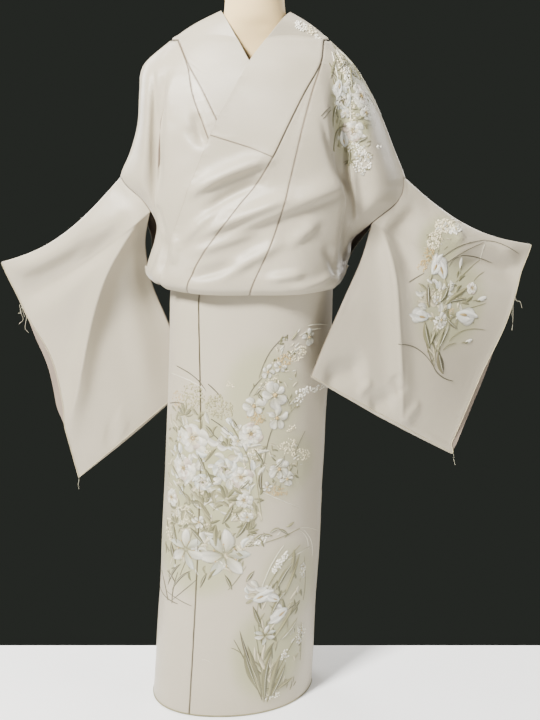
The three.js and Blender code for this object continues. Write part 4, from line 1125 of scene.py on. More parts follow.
def petal(turn, length, width, tones, level=0.0, blunt=0.6, start=0.0, bend=0.0, vein=0.0, fold=0.0):
    # one petal or leaf of satin stitch, as a low crowned patch that sinks into the cloth at its edge; fold
    # paints shade on its one half
    share = np.linspace(0, 1, 9)[:, None]
    across = np.array([-1.0, -0.62, -0.2, 0.2, 0.62, 1.0])[None, :]
    wide = width / 2 * np.sin(math.pi * (0.06 + 0.94 * share) ** (0.75 + blunt)) ** (1.25 - 0.75 * blunt)
    away = start + share * length
    aim = math.radians(turn) + bend * share ** 1.5
    a = away * np.cos(aim) - across * wide * np.sin(aim)
    b = away * np.sin(aim) + across * wide * np.cos(aim)
    crown = np.sqrt(np.maximum(1 - across ** 2, 0)) * np.sin(math.pi * (0.05 + 0.9 * share)) ** 0.45
    raised = threadLook["raise"] * min(1.0, 0.45 + width / 22)
    rim = (np.abs(across) > 0.99) | (share < 0.001) | (share > 0.999)
    lift = np.where(rim, threadLook["buried"], threadLook["lift"] + raised * crown) + level
    lift = lift - vein * raised * np.exp(-((across / 0.25) ** 2)) * np.sin(math.pi * share)
    inner, outer = np.array(tones[0]), np.array(tones[1])
    colour = inner + (outer - inner) * (share ** 0.8)[..., None]
    # painted shade: the half on one side of the middle is darkened by 10 to 35 per cent, the more the larger
    # fold is
    colour = np.broadcast_to(colour, (9, 6, 3)) * (1 - (0.10 + 0.25 * fold) * (across < -0.1))[..., None]
    outline = (threadLook["outline"] * rim)[..., None]
    colour = colour * (1 - outline) + np.array(threadTones["olive"][0]) * outline
    flat = np.stack([away / 1000 + 0 * across, across * wide / 1000], axis=-1)
    return a + 0 * across, b, lift + 0 * across, colour, flat


def dot(a, b, size, tone, level=0.4):
    share = np.linspace(0, 1, 4)[:, None]
    turn = np.linspace(0, 2 * math.pi, 8)[None, :]
    radius = size / 2 * np.sin(share * math.pi / 2)
    lift = level + size * 0.45 * np.cos(share * math.pi / 2) - 0.3 * (share > 0.99)
    colour = np.broadcast_to(np.array(threadTones[tone][0]), (4, 8, 3))
    return (a + radius * np.cos(turn), b + radius * np.sin(turn), lift + 0 * turn, colour,
            np.stack([radius * np.cos(turn), radius * np.sin(turn)], axis=-1) / 1000)


def toneOf(name, swap=False):
    pair = threadTones[name]
    return pair[::-1] if swap else pair


def dots(count, turn, reach, size, tone, level):
    aims = [math.radians(turn + 360 / count * i) for i in range(count)]
    return [dot(reach * math.cos(aim), reach * math.sin(aim), size, tone, level) for aim in aims]


def cosmos(turn, size, draw):
    made, tones = [], (threadTones["pale"][0], threadTones["white"][0])
    count = 5 + int(draw.integers(0, 2))
    for i in range(count):
        aim = turn + 360 / count * i + draw.uniform(-15, 15)
        length = size / 2 * draw.uniform(0.72, 1.08)
        made.append(petal(aim, length, length * draw.uniform(0.62, 0.95), tones, 0.15 * i, 0.8, size * 0.04,
                          draw.uniform(-0.5, 0.5), vein=0.7, fold=0.8))
    made.append(dot(0, 0, size * 0.15, "gold", 1.0))
    return made + dots(5, turn + 36, size * 0.11, size * 0.055, "cream", 1.1)


def peony(turn, size, draw):
    made = []
    rings = ((8, 0.5, 0.42, "light"), (6, 0.37, 0.34, "white"), (5, 0.24, 0.24, "cream"))
    for ring, (count, reach, broad, usual) in enumerate(rings):
        for i in range(count):
            aim = turn + 360 / count * i + 21 * ring + draw.uniform(-10, 10)
            length = size * reach * draw.uniform(0.86, 1.08)
            tone = usual if draw.random() < 0.75 else "blush"
            made.append(petal(aim, length * 0.72, size * broad * draw.uniform(0.85, 1.1), toneOf(tone, True),
                              0.3 * ring, 0.95, length * 0.28, draw.uniform(-0.5, 0.5), vein=0.25, fold=0.5))
    return made + dots(6, turn, size * 0.05, size * 0.05, "gold", 1.5)


def rose(turn, size, draw):
    # petals closed round a heart, seen a little from the side
    made = []
    rings = ((6, 0.5, 0.5, "mist"), (4, 0.33, 0.40, "light"), (3, 0.18, 0.24, "blush"))
    for ring, (count, reach, broad, tone) in enumerate(rings):
        for i in range(count):
            aim = turn + 360 / count * i + 37 * ring
            length = size * reach * (0.72 + 0.28 * abs(math.cos(math.radians(aim - turn))))
            made.append(petal(aim, length * 0.62, size * broad, toneOf(tone, ring == 0), 0.35 * ring, 1.0,
                              length * 0.4, draw.uniform(0.2, 0.7), vein=0.1, fold=0.9))
    return made + [dot(0, 0, size * 0.1, "olive", 1.5)]


def lily(turn, size, draw):
    made = []
    for ring, (broad, tone) in enumerate(((0.46, "mist"), (0.56, "white"))):
        tones = (threadTones["pale"][0], threadTones[tone][0])
        for i in range(3):
            aim = turn + 120 * i + 60 * ring + draw.uniform(-6, 6)
            length = size / 2 * draw.uniform(0.92, 1.08)
            made.append(petal(aim, length, length * broad, tones, 0.35 * ring, 0.42, size * 0.03,
                              draw.uniform(-0.35, 0.35), vein=0.75, fold=0.5))
    made += [petal(turn + 60 * i + 28, size * 0.2, size * 0.018 + 0.6, toneOf("pale"), 1.2, 0.5, size * 0.02)
             for i in range(6)]
    return made + dots(6, turn + 28, size * 0.22, size * 0.04, "gold", 1.2)


def calla(turn, size, draw):
    # a rolled trumpet with a gold heart
    tones = (threadTones["mist"][0], threadTones["white"][0])
    return [petal(turn - 7, size * 0.82, size * 0.66, tones, 0.4, 0.9, 0, 0.15, vein=0.5, fold=0.5),
            petal(turn + 14, size, size * 0.34, tones, 0.8, 0.4, -size * 0.05, -0.25, vein=0.3, fold=0.9),
            petal(turn - 34, size * 0.7, size * 0.3, tones, 0.9, 0.7, -size * 0.04, 0.5, vein=0.2, fold=0.2),
            petal(turn + 2, size * 0.34, size * 0.13, toneOf("gold"), 1.6, 0.6, size * 0.12),
            petal(turn + 184, size * 0.34, size * 0.13, toneOf("pale"), 0.5, 0.5, -size * 0.02)]


def fan(turn, size, draw):
    made = []
    for i in range(7):
        aim = turn + (i - 3) * 25 + draw.uniform(-5, 5)
        length = size / 2 * (1.05 - 0.07 * abs(i - 3)) * draw.uniform(0.85, 1.1)
        tones = toneOf(("pale", "sage")[i % 2], i % 3 == 0)
        made.append(petal(aim, length, length * 0.3, tones, 0.12 * (i % 3), 0.3, size * 0.03,
                          draw.uniform(-0.3, 0.3), vein=0.7, fold=0.8))
    return made


def bud(turn, size, draw):
    return [petal(turn, size * 0.62, size * 0.28, toneOf("white", True), 0.2, 0.4, size * 0.3, 0.1,
                  vein=0.3, fold=0.6),
            petal(turn - 8, size * 0.5, size * 0.15, toneOf("sage"), 0.5, 0.35, size * 0.22, 0.2,
                  vein=0.5, fold=0.6),
            petal(turn, size * 0.34, size * 0.05 + 0.6, toneOf("sage"), 0.2, 0.5, 0)]


motifMakers = {"cosmos": cosmos, "peony": peony, "rose": rose, "lily": lily, "calla": calla, "fan": fan,
               "bud": bud}

# Places and ovals of the motifs in the picture's pixels, with their sizes in millimetres
motifs = fieldTables("kind x y turn size", skirt="""
    cosmos 309 337 20 34; cosmos 268 372 80 30; cosmos 280 367 10 26; cosmos 275 395 15 58;
    cosmos 254 406 40 48; cosmos 277 418 75 46; peony 251 434 10 44; cosmos 279 469 30 46;
    cosmos 287 479 70 34; cosmos 267 487 10 22; fan 185 416 90 46; peony 193 438 30 58; rose 225 469 -5 44;
    peony 241 477 80 42; peony 184 468 60 50; fan 228 446 92 32; cosmos 238 441 45 24; cosmos 181 437 30 26;
    fan 226 500 55 58; fan 205 505 110 54; peony 172 497 60 34; peony 244 500 20 32; lily 225 555 8 92;
    lily 186 549 36 74; fan 247 531 25 40; fan 207 532 80 46; rose 203 482 20 34; cosmos 199 522 12 30;
    cosmos 247 517 50 26; fan 176 524 130 36; calla 253 600 20 44; calla 287 608 210 46; lily 265 635 25 40;
    cosmos 303 566 20 16; cosmos 301 630 50 20; cosmos 284 655 10 14; fan 273 690 88 28;
    cosmos 299 640 0 16; cosmos 303 575 0 13; calla 279 600 150 30""", shoulder="""
    calla 340 80 260 34; rose 343 101 20 30; peony 361 96 10 40; peony 353 131 30 36; calla 345 147 100 30;
    cosmos 359 156 10 20; cosmos 368 157 40 15; cosmos 362 171 80 17; cosmos 345 113 15 20;
    fan 352 72 60 30; peony 366 113 50 26; fan 349 160 280 22""", sleeve="""
    calla 432 274 60 44; calla 444 279 110 50; bud 460 274 88 30; calla 428 318 170 44; calla 456 314 -8 52;
    peony 472 288 30 24; cosmos 441 320 20 30; cosmos 437 300 50 20; bud 472 301 8 36; bud 461 343 4 28;
    cosmos 447 226 30 18; cosmos 456 229 10 16""")
leafRows = fieldTables("x y tipX tipY width tone", skirt="""
    247 547 253 541 6 sage; 254 541 262 533 7 sage; 262 534 273 536 6 sage; 270 533 279 526 7 sage;
    279 529 290 533 6 sage; 286 527 296 523 6 pale; 264 547 259 539 6 pale; 258 690 240 652 17 sage;
    262 697 247 645 15 pale; 265 700 262 650 13 sage; 268 700 278 652 14 pale; 270 698 290 662 12 sage;
    262 690 233 632 9 olive; 275 690 296 676 9 pale; 290 573 300 548 12 pale; 276 590 292 556 12 sage;
    284 596 306 552 9 pale; 270 618 282 586 10 sage; 262 628 251 606 10 sage; 272 640 300 604 9 pale;
    280 640 304 618 8 sage; 186 470 172 440 9 sage; 180 478 170 462 8 pale; 205 470 197 452 9 sage;
    205 462 214 446 9 pale; 214 486 203 470 9 sage; 238 490 252 478 10 sage; 232 486 243 497 10 pale;
    212 520 196 500 11 pale; 222 524 236 506 11 sage; 205 545 190 526 11 sage; 216 548 214 524 12 pale;
    236 538 250 520 10 sage; 178 545 168 520 9 sage; 176 560 168 540 8 olive; 188 500 174 482 9 sage;
    196 520 184 508 9 pale; 168 585 180 560 6 olive; 172 590 190 566 5 olive; 176 584 166 566 5 olive;
    264 465 254 448 8 sage; 270 470 288 458 7 sage; 262 470 256 492 8 olive; 266 380 256 398 5 sage;
    264 402 256 392 6 sage; 288 405 298 398 5 sage; 284 395 292 404 5 sage; 244 404 258 412 5 sage;
    291 340 300 332 5 pale; 296 349 288 357 5 sage; 246 582 254 570 8 sage; 232 590 226 574 8 sage;
    208 580 214 566 8 pale; 200 588 206 572 7 sage; 240 430 230 420 6 sage; 190 432 178 424 8 pale;
    214 436 206 424 7 sage""", shoulder="""
    333 128 332 98 9 sage; 333 152 343 120 9 sage; 336 58 330 84 6 pale; 345 60 341 84 7 sage;
    352 88 348 64 8 pale; 362 80 356 66 7 sage; 357 120 373 110 8 pale; 340 150 335 128 8 pale;
    349 166 352 146 6 sage; 356 142 368 138 6 sage; 338 92 331 76 6 olive""", sleeve="""
    429 308 426 283 13 olive; 440 302 452 285 14 sage; 444 306 462 286 13 pale; 452 300 470 282 9 pale;
    430 348 420 323 15 sage; 438 352 441 326 13 pale; 436 352 454 322 9 sage; 443 374 436 352 17 olive;
    448 302 470 294 7 sage; 430 345 436 330 8 pale; 446 318 458 330 8 sage""")
bladeRows = fieldTables("x y bowX bowY tipX tipY width tone", skirt="""
    177 366 196 373 206 391 2.2 dark; 208 384 214 389 221 397 2.4 dark; 172 373 192 378 206 391 2 light;
    288 335 268 345 259 378 1.8 dark; 262 378 252 388 249 396 1.8 dark; 273 427 267 440 264 465 1.8 dark;
    305 431 298 444 295 454 1.6 dark; 261 491 282 500 300 507 2 light; 211 419 224 427 234 437 2.4 dark;
    210 432 220 440 224 446 2.2 dark; 229 421 236 433 248 456 3 sage; 244 450 252 462 250 480 2.4 sage;
    170 403 177 401 183 404 2 dark; 308 326 318 322 328 325 2 light; 300 336 308 329 322 328 1.8 light;
    298 402 290 412 285 420 1.6 sage; 247 547 272 541 300 528 1.8 sage; 299 530 309 534 308 549 1.5 light;
    304 530 314 538 312 556 1.5 light; 300 528 310 524 318 530 1.4 light; 168 600 166 585 162 570 2.6 dark;
    172 603 172 588 178 572 2.4 dark; 178 604 166 598 158 584 2 dark; 172 600 184 590 196 580 1.8 dark;
    166 590 186 604 192 606 1.4 dark; 262 700 250 668 234 640 2.6 olive; 264 702 262 668 254 625 2.4 sage;
    267 702 276 668 300 630 2.4 sage; 262 645 256 620 258 604 2 sage; 262 605 268 575 300 545 2.2 sage;
    258 600 268 565 284 545 2 light; 288 560 302 550 310 546 1.8 light; 303 600 307 580 304 556 1.4 sage;
    300 660 302 640 301 622 1.4 sage; 268 620 285 612 300 600 1.8 dark; 246 660 240 650 231 648 1.8 sage;
    255 470 258 492 262 520 2.2 pale; 250 480 252 510 248 530 2 pale; 202 660 206 658 214 665 1 light;
    232 484 238 498 250 505 2 sage; 180 575 186 560 190 552 2 olive;
    228 590 238 580 246 566 1.6 sage""", shoulder="""
    332 52 336 70 341 92 2.2 light; 336 50 345 66 350 92 2.4 light; 340 50 348 56 352 64 2 light;
    321 116 326 110 330 107 1.8 dark; 323 119 327 114 331 110 1.4 dark; 347 78 352 74 355 72 1.8 dark;
    350 92 350 115 352 128 2.6 light; 332 72 335 74 337 78 1.8 dark; 341 120 334 140 334 152 2.4 pale;
    349 150 351 168 352 182 1.6 light; 352 140 362 148 368 160 1.6 light; 360 90 372 96 378 112 1.8 light;
    346 128 356 124 372 124 2.2 pale""", sleeve="""
    409 282 418 277 424 273 1.8 dark; 440 260 458 242 486 240 2 dark; 446 264 458 254 484 242 2 dark;
    461 256 474 255 492 263 2.2 dark; 486 241 500 240 519 254 1.8 dark; 459 257 452 259 449 267 1.6 dark;
    456 282 470 268 480 260 1.5 sage; 474 281 478 275 484 272 1.5 sage; 398 344 422 344 434 368 2.2 dark;
    434 368 440 379 453 381 2.6 dark; 449 341 462 325 485 330 1.7 sage; 443 350 448 344 456 343 1.6 sage;
    424 333 428 355 436 372 2.2 olive; 441 335 434 350 434 366 2 sage; 470 308 478 306 486 303 1.4 sage;
    473 316 474 320 473 324 1.4 sage; 452 314 464 316 474 322 1.6 light; 480 262 482 250 485 244 1.4 light""")
clusterRows = fieldTables("x y wide tall turn count size tone", skirt="""
    193 396 11 12 20 70 2.6 pale; 219 407 14 11 35 90 2.8 pale; 298 354 9 6 -30 46 2.4 cream;
    286 360 9 6 -20 40 2.2 gold; 256 417 9 7 20 56 2 gold; 270 384 10 5 -20 36 2.2 cream;
    303 392 8 4 -10 24 3 white; 318 388 7 3 0 14 3 white; 301 455 9 6 20 44 2.2 cream;
    288 446 8 8 0 40 2.2 cream; 276 491 12 5 25 52 1.9 gold; 256 456 8 7 0 30 2 cream;
    185 516 9 11 0 56 2.2 cream; 230 385 4 4 0 8 2 cream; 280 563 13 4 -55 44 2.8 white;
    285 655 5 8 10 18 2.4 white; 301 632 5 9 10 22 2.2 white; 303 570 3 7 0 16 2 white;
    245 545 9 4 -25 26 2.2 cream; 262 540 9 3 -30 18 2.2 white; 178 400 6 9 0 26 2 gold;
    272 696 9 3 0 16 2.2 white; 283 475 9 4 0 20 2 cream; 209 556 5 4 0 14 1.8 gold;
    204 452 7 8 0 26 2 cream; 240 515 9 8 0 28 2 cream; 170 530 5 12 0 30 2 cream;
    291 428 5 4 0 12 2.2 cream; 297 402 7 4 -30 16 2.2 white""", shoulder="""
    341 64 3 9 -15 26 2.8 cream; 347 74 3 9 -10 20 2.6 white; 352 112 3 10 0 22 2.4 cream;
    357 150 9 5 20 30 2.4 white; 362 166 9 6 0 26 2.6 white; 351 138 5 6 0 20 2.2 cream;
    342 140 3 8 10 16 2.2 cream; 379 146 3 2 0 5 2.6 white""", sleeve="""
    445 226 10 6 10 60 3 cream; 435 240 7 9 20 56 2.8 cream; 428 256 6 8 30 40 2.2 gold;
    422 266 5 5 30 24 2 gold; 455 231 6 3 0 20 2.8 white; 440 322 7 6 0 34 2.4 white;
    437 296 5 7 0 24 2 cream; 452 312 3 3 0 10 2 gold; 432 318 2 3 0 8 2 gold""", collar="""
    301 26 6 4 20 26 3 white; 310 30 6 4 20 20 2.8 cream; 317 37 3 2 20 8 2.4 white""")
fillRows = fieldTables("x y wide tall aim sweep count length kind", skirt="""
    214 462 38 30 90 180 54 24 petals; 212 508 44 28 90 180 110 27 leaves; 175 478 9 62 60 90 34 20 leaves;
    205 556 42 24 90 180 44 26 leaves; 222 556 24 20 90 180 16 24 petals; 192 430 22 18 110 60 30 26 leaves;
    276 392 22 30 60 110 44 14 sprigs; 292 346 16 14 40 70 24 14 sprigs; 284 466 22 26 60 110 46 15 sprigs;
    252 470 12 36 80 120 30 22 leaves; 264 664 16 34 96 30 26 46 reeds; 276 612 20 30 66 40 22 38 reeds;
    296 620 8 50 80 40 20 16 sprigs; 264 540 26 7 20 60 16 15 leaves; 172 556 9 28 80 60 18 26 reeds;
    280 690 18 7 80 50 14 22 reeds; 238 440 16 16 90 180 22 18 petals; 190 470 18 26 90 180 26 22 petals;
    262 600 14 18 70 180 10 26 petals""", shoulder="""
    351 98 15 36 90 180 52 17 leaves; 354 108 14 30 90 180 26 17 petals; 362 158 11 15 90 180 26 11 sprigs;
    340 80 7 30 90 40 12 26 reeds""", sleeve="""
    446 300 24 24 90 150 44 26 leaves; 440 300 18 22 90 180 20 24 petals; 436 242 11 20 80 120 30 12 sprigs;
    436 350 12 18 100 40 14 36 reeds; 446 226 14 7 20 60 14 12 petals""", collar="""
    306 29 9 6 90 180 14 12 sprigs""")


def frontSkirtGrid():
    angle = np.linspace(-97.5, 97.5, 200)[None, :]
    z = np.concatenate([skirtLevels, [8, 3, 0.5]])[:, None]
    points = skirtPoint(angle, z)
    return points + gridNormals(points) * skirtRelief(points)[..., None]


def shoulderGrid():
    q = np.linspace(5.4, lastStation, 90)[None, :]
    t = upperRows[upperRows <= 9][:, None]
    q, t = np.broadcast_arrays(q, t)
    points = frontPoint(q, t)
    return points + frontNormal(q, t) * upperRelief(points)[..., None]


def onCollar():
    points = sheets["overCollar"]["points"]
    rows = np.where((points[:, 0, 0] > 60) & (points[:, 0, 2] > collarShape["lineBelow"]))[0]
    return points[rows[0]:rows[-1] + 1]


fillKinds = {  # tones, width as a share of the length, bend, bluntness
    "petals": (("light", "cream", "mist", "white"), (0.45, 0.75), 0.9, 0.9),
    "leaves": (("pale", "sage", "cream", "light", "pale"), (0.24, 0.42), 0.8, 0.3),
    "sprigs": (("pale", "cream", "light", "sage"), (0.22, 0.4), 0.4, 0.3),
    "reeds": (("pale", "sage", "sage", "cream"), (0.14, 0.22), 0.3, 0.3),
}
motifGrowth = {"blade": 1.2, "flower": 1.18, "cosmos": 1.0}


def fill(work, field, draw):
    # leaves and loose petals that close the ground between the motifs
    for x, z, wide, tall, aim, sweep, count, length, kind in work.laid.ofTable(fillRows[field]):
        tones, broad, bend, blunt = fillKinds[kind]
        for _ in range(int(count)):
            reach, way = math.sqrt(draw.random()), draw.uniform(0, 2 * math.pi)
            long = length * draw.uniform(0.6, 1.2)
            tone = toneOf(tones[int(draw.integers(len(tones)))], draw.random() < 0.4)
            reach *= view["pixel"]
            turn, width = aim + draw.uniform(-sweep, sweep), long * draw.uniform(*broad)
            level, curve = draw.uniform(-0.35, 0.1), draw.uniform(-bend, bend)
            leaf = petal(turn, long, width, tone, level, blunt, 0, curve, vein=0.7, fold=1.0)
            work.motif(x + reach * wide * math.cos(way), z + reach * tall * math.sin(way), [leaf])


def embroider(name, field, laid, seed):
    draw = np.random.default_rng(seed)
    work = Stitching(name, laid)
    fill(work, field, draw)
    for *path, width, tone in laid.ofTable(bladeRows[field], ("x", "y", "bowX", "bowY", "tipX", "tipY")):
        work.blade(np.reshape(path, (3, 2)), width * motifGrowth["blade"], tone)
    for x, z, tipX, tipZ, width, tone in laid.ofTable(leafRows[field], ("x", "y", "tipX", "tipY")):
        length = math.hypot(tipX - x, tipZ - z)
        turn = math.degrees(math.atan2(tipZ - z, tipX - x))
        bend = draw.uniform(-0.25, 0.25)
        rib = toneOf("light" if tone != "pale" else "sage")
        work.motif(x, z, [petal(turn, length, width, toneOf(tone), 0.5, 0.3, 0, bend, vein=0.8, fold=1.0),
                          petal(turn, length * 0.9, 1.0, rib, 1.25, 0.5, length * 0.04, bend)])
    for kind, x, z, turn, size in laid.ofTable(motifs[field]):
        growth = motifGrowth.get(kind, motifGrowth["flower"])
        work.motif(x, z, motifMakers[kind](turn, size * growth, draw))
    return work.made()


# Edging on the hem and the cuffs, and loose ends of thread
trimWork = {"hem": 1.5, "cuff": 0.9, "seam": 0.8, "seamRise": 1.3, "thread": 0.35, "drop": 48.0,
            "ends": (0.25, 0.26, 0.27, 0.28, 0.99), "swing": 16, "curl": 4, "seed": 31}


def cord(work, path, radius, tone, sides=6):
    ahead = unit(np.gradient(path, axis=0))
    side = unit(np.cross(ahead, np.array([0.21, 0.35, 0.91])))
    other = np.cross(ahead, side)
    turn = np.linspace(2 * math.pi, 0, sides + 1)
    round = side[:, None] * np.cos(turn)[:, None] + other[:, None] * np.sin(turn)[:, None]
    points = path[:, None] + radius * round
    run = np.concatenate([[0], np.cumsum(np.linalg.norm(np.diff(path, axis=0), axis=-1))]) / 1000
    flat = np.stack([run[:, None] + 0 * turn, 0 * run[:, None] + turn * radius / 1000], axis=-1)
    work.patch(points, np.broadcast_to(np.array(threadTones[tone][1]), points.shape), flat)


def trim():
    draw = np.random.default_rng(trimWork["seed"])
    work = Stitching("trim", None)
    for name in ("skirtLeft", "skirtOverlapLeft", "skirtRight"):
        hem = sheets[name]["points"][-1] + np.array([0, 0, trimWork["hem"] + 0.3])
        cord(work, hem, trimWork["hem"], "pale")
    seam = sheets["skirtLeft"]["points"][:, 0] + sheets["skirtLeft"]["normals"][:, 0] * trimWork["seamRise"]
    height, size = uneven["cord"]
    seam[:, 0] += height * wander(0 * seam[:, 0], seam[:, 2], size)
    cord(work, seam[1:], trimWork["seam"], "olive")
    for name in ("sleeveLeft", "sleeveRight"):
        grid = sheets[name]["front"] if name == "sleeveRight" else sheets[name]["front"][::-1]
        for edge in (grid[-1], grid[:, -1]):
            cord(work, edge, trimWork["cuff"], "cream")
        for place in trimWork["ends"]:
            start = grid[-1, int(place * (len(grid[-1]) - 1))]
            share = np.linspace(0, 1, 14)[:, None]
            swing = draw.uniform(-trimWork["swing"], trimWork["swing"], (1, 3)) * share
            swing = swing + draw.uniform(-trimWork["curl"], trimWork["curl"], (1, 3)) * np.sin(share * 7)
            drop = share * trimWork["drop"] * draw.uniform(0.5, 1.2)
            cord(work, start + swing - np.array([0, 0, 1]) * drop, trimWork["thread"], "light", 4)
    return work.made()


# Knots: small raised dots scattered in the clusters, set on points of the cloth by a node tree
def knotMesh():
    rings, sides = 3, 7
    points = []
    for i in range(1, rings + 1):
        out, high = math.sin(i / rings * math.pi / 2) * 0.5, math.cos(i / rings * math.pi / 2) * 0.42 - 0.08
        turns = [j / sides * 2 * math.pi for j in range(sides)]
        points += [(out * math.cos(turn), out * math.sin(turn), high) for turn in turns]
    points.append((0, 0, 0.36))
    faces = []
    for i in range(rings - 1):
        low, high = i * sides, (i + 1) * sides
        faces += [(low + j, high + j, high + (j + 1) % sides, low + (j + 1) % sides) for j in range(sides)]
    faces += [(len(points) - 1, j, (j + 1) % sides) for j in range(sides)]
    mesh = bpy.data.meshes.new("knot")
    mesh.from_pydata(points, [], faces)
    mesh.shade_smooth()
    piece = bpy.data.objects.new("knot", mesh)
    bpy.context.collection.objects.link(piece)
    return piece


def scatterTree():
    # points with a facing, a size and a colour each get one instance of a small mesh
    tree = bpy.data.node_groups.new("set on points", "GeometryNodeTree")
    for label, kind in (("Points", "Geometry"), ("Knot", "Object"), ("Scale", "Float"), ("Seed", "Int"),
                        ("Thread", "Material")):
        tree.interface.new_socket(label, in_out="INPUT", socket_type="NodeSocket" + kind)
    tree.interface.new_socket("Stitches", in_out="OUTPUT", socket_type="NodeSocketGeometry")

    def add(kind, inputs, **settings):
        node = tree.nodes.new(kind)
        for key, value in settings.items():
            setattr(node, key, value)
        for key, value in inputs.items():
            if isinstance(value, bpy.types.NodeSocket):
                tree.links.new(value, node.inputs[key])
            else:
                node.inputs[key].default_value = value
        return node.outputs

    start = add("NodeGroupInput", {})
    shape = add("GeometryNodeObjectInfo", {"Object": start["Knot"]})
    facing = add("GeometryNodeInputNamedAttribute", {"Name": "facing"}, data_type="FLOAT_VECTOR")
    size = add("GeometryNodeInputNamedAttribute", {"Name": "size"}, data_type="FLOAT")
    aim = add("FunctionNodeAlignRotationToVector", {"Vector": facing["Attribute"]}, axis="Z")
    uneven = add("FunctionNodeRandomValue", {2: 0.8, 3: 1.2, "Seed": start["Seed"]}, data_type="FLOAT")
    product = add("ShaderNodeMath", {0: size["Attribute"], 1: uneven[1]}, operation="MULTIPLY")
    scaled = add("ShaderNodeMath", {0: product[0], 1: start["Scale"]}, operation="MULTIPLY")
    copies = add("GeometryNodeInstanceOnPoints", {"Points": start["Points"], "Instance": shape["Geometry"],
                                                  "Rotation": aim["Rotation"], "Scale": scaled[0]})
    real = add("GeometryNodeRealizeInstances", {"Geometry": copies["Instances"]})
    finish = add("GeometryNodeSetMaterial", {"Geometry": real["Geometry"], "Material": start["Thread"]})
    add("NodeGroupOutput", {"Stitches": finish["Geometry"]})
    return tree


def madeByNodes(piece, tree, values):
    # sets the named inputs, keeps the result as a plain mesh and drops the modifier
    modifier = piece.modifiers.new("made", "NODES")
    modifier.node_group = tree
    for item in tree.interface.items_tree:
        if item.in_out == "INPUT" and item.name in values:
            modifier[item.identifier] = values[item.name]
    graph = bpy.context.evaluated_depsgraph_get()
    mesh = bpy.data.meshes.new_from_object(piece.evaluated_get(graph), depsgraph=graph)
    piece.modifiers.clear()
    piece.data = mesh
    mesh.shade_smooth()
    return piece


def pointCloud(name, points, normals, sizes, colours):
    mesh = bpy.data.meshes.new(name)
    mesh.from_pydata(toFrame(points).tolist(), [], [])
    layers = (("facing", "FLOAT_VECTOR", "vector", normals), ("size", "FLOAT", "value", sizes),
              ("thread", "FLOAT_COLOR", "color", colours))
    for key, kind, field, values in layers:
        fillValues(mesh.attributes.new(key, kind, "POINT").data, field, values)
    piece = bpy.data.objects.new(name, mesh)
    bpy.context.collection.objects.link(piece)
    return piece


knotWork = {"scale": 0.0014, "seed": 7, "crowd": 1.7}


def knots(name, fields):
    draw = np.random.default_rng(knotWork["seed"])
    spots, facings, sizes, colours = [], [], [], []
    for field, laid in fields.items():
        for x, z, wide, tall, turn, count, size, tone in laid.ofTable(clusterRows[field]):
            count = int(count * knotWork["crowd"])
            reach, aim = np.sqrt(draw.random(count)), draw.uniform(0, 2 * math.pi, count)
            a, b = reach * np.cos(aim) * wide * view["pixel"], reach * np.sin(aim) * tall * view["pixel"]
            c, s = math.cos(math.radians(turn)), -math.sin(math.radians(turn))
            (points, normals), _ = laid.seen(x + a * c - b * s, z + a * s + b * c)
            spots.append(points + normals * 0.1)
            facings.append(normals)
            sizes.append(draw.uniform(0.75, 1.2, count) * size)
            first, second = (np.array(t) for t in threadTones[tone])
            mixed = first + (second - first) * draw.random((count, 1))
            colours.append(np.concatenate([mixed, np.ones((count, 1))], axis=-1))
    cloud = pointCloud(name, *(np.concatenate(v) for v in (spots, facings, sizes, colours)))
    return madeByNodes(cloud, scatterTree(), {"Knot": knotShape, "Scale": knotWork["scale"],
                                              "Seed": knotWork["seed"], "Thread": threadSilk})


knotShape = knotMesh()
laidCloth = {"skirt": LaidCloth(frontSkirtGrid()), "shoulder": LaidCloth(shoulderGrid()),
             "sleeve": LaidCloth(sheets["sleeveLeft"]["front"]), "collar": LaidCloth(onCollar())}
embroidered = [embroider("embroiderySkirt", "skirt", laidCloth["skirt"], 11),
               embroider("embroideryShoulder", "shoulder", laidCloth["shoulder"], 12),
               embroider("embroiderySleeve", "sleeve", laidCloth["sleeve"], 13),
               knots("embroideryKnots", laidCloth), trim()]
bpy.data.objects.remove(knotShape)
print("embroidery laid", [len(piece.data.polygons) for piece in embroidered])

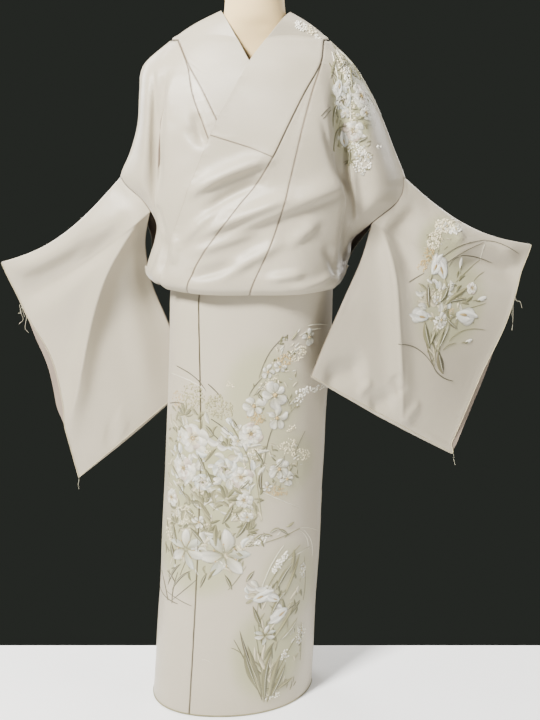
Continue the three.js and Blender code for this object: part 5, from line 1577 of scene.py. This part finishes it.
# The frame: what each piece stands for, and the size that each sheet was cut to, width and length in metres
cuts = {
    "bodyLeft": (bodyLeft, "body_left", (0.37, 0.98), "draped", 0.29, ["form"]),
    "bodyRight": (bodyRight, "body_right", (0.37, 0.98), "draped", 0.28, ["form"]),
    "overlapLeft": (overlapLeft, "overlap_left", (0.15, 0.45), "draped", 0.036, ["body_left"]),
    "overlapRight": (overlapRight, "overlap_right", (0.1, 0.42), "draped", 0.018, ["body_right"]),
    "skirtLeft": (skirtLeft, "skirt_left", (0.545, 0.97), "draped", None, ["form"]),
    "skirtRight": (skirtRight, "skirt_right", (0.47, 0.97), "draped", None, ["form"]),
    "skirtOverlapLeft": (skirtOverlapLeft, "skirt_overlap_left", (0.165, 0.97), "draped", None,
                         ["skirt_right"]),
    "skirtOverlapRight": (skirtOverlapRight, "skirt_overlap_right", (0.16, 0.97), "draped", None,
                          ["skirt_left"]),
    "collar": (collarPiece, "collar", (0.11, 1.5), "folded", None, ["form"]),
    "overCollar": (overCollar, "over_collar", (0.11, 0.95), "folded", None, ["collar"]),
    "sleeveLeft": (sleeveLeft, "sleeve_left", (0.36, 0.9), "hung", None, ["body_left"]),
    "sleeveRight": (sleeveRight, "sleeve_right", (0.34, 0.9), "hung", None, ["body_right"]),
}


def sheetArea(points):
    across, down = points[:-1, 1:] - points[:-1, :-1], points[1:, :-1] - points[:-1, :-1]
    return np.linalg.norm(np.cross(across, down), axis=-1).sum() / 1e6


for name, (piece, node, flat, held, area, rests) in cuts.items():
    print(name, "area", round(sheetArea(sheets[name]["points"]), 3), "cut", flat)
    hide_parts(node)
    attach(piece, "root")

for piece in embroidered:
    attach(piece, "root")

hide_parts("form")
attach(dressForm, "root")

# Floor
low, high = studio["floor"]["from"], studio["floor"]["to"]
corners = [(x, y, z) for z in (-studio["floor"]["depth"], -0.0002) for x, y in
           ((low[0], low[1]), (high[0], low[1]), (high[0], high[1]), (low[0], high[1]))]
sides = [(3, 2, 1, 0), (4, 5, 6, 7), (0, 1, 5, 4), (1, 2, 6, 5), (2, 3, 7, 6), (3, 0, 4, 7)]
floorShader = Shader("pale floor", studio["floor"]["colour"], 0.55)
marks = floorShader.noise(floorShader.spot("Object"), 5.0, 3.0)
floorShader.finish("Base Color", floorShader.mix(marks, (0.95, 0.95, 0.945), (0.99, 0.99, 0.985)))
floor = makeMesh("floor", np.array(corners), sides, (floorShader.material,))
for polygon in floor.data.polygons:
    polygon.use_smooth = False
print("floor laid")
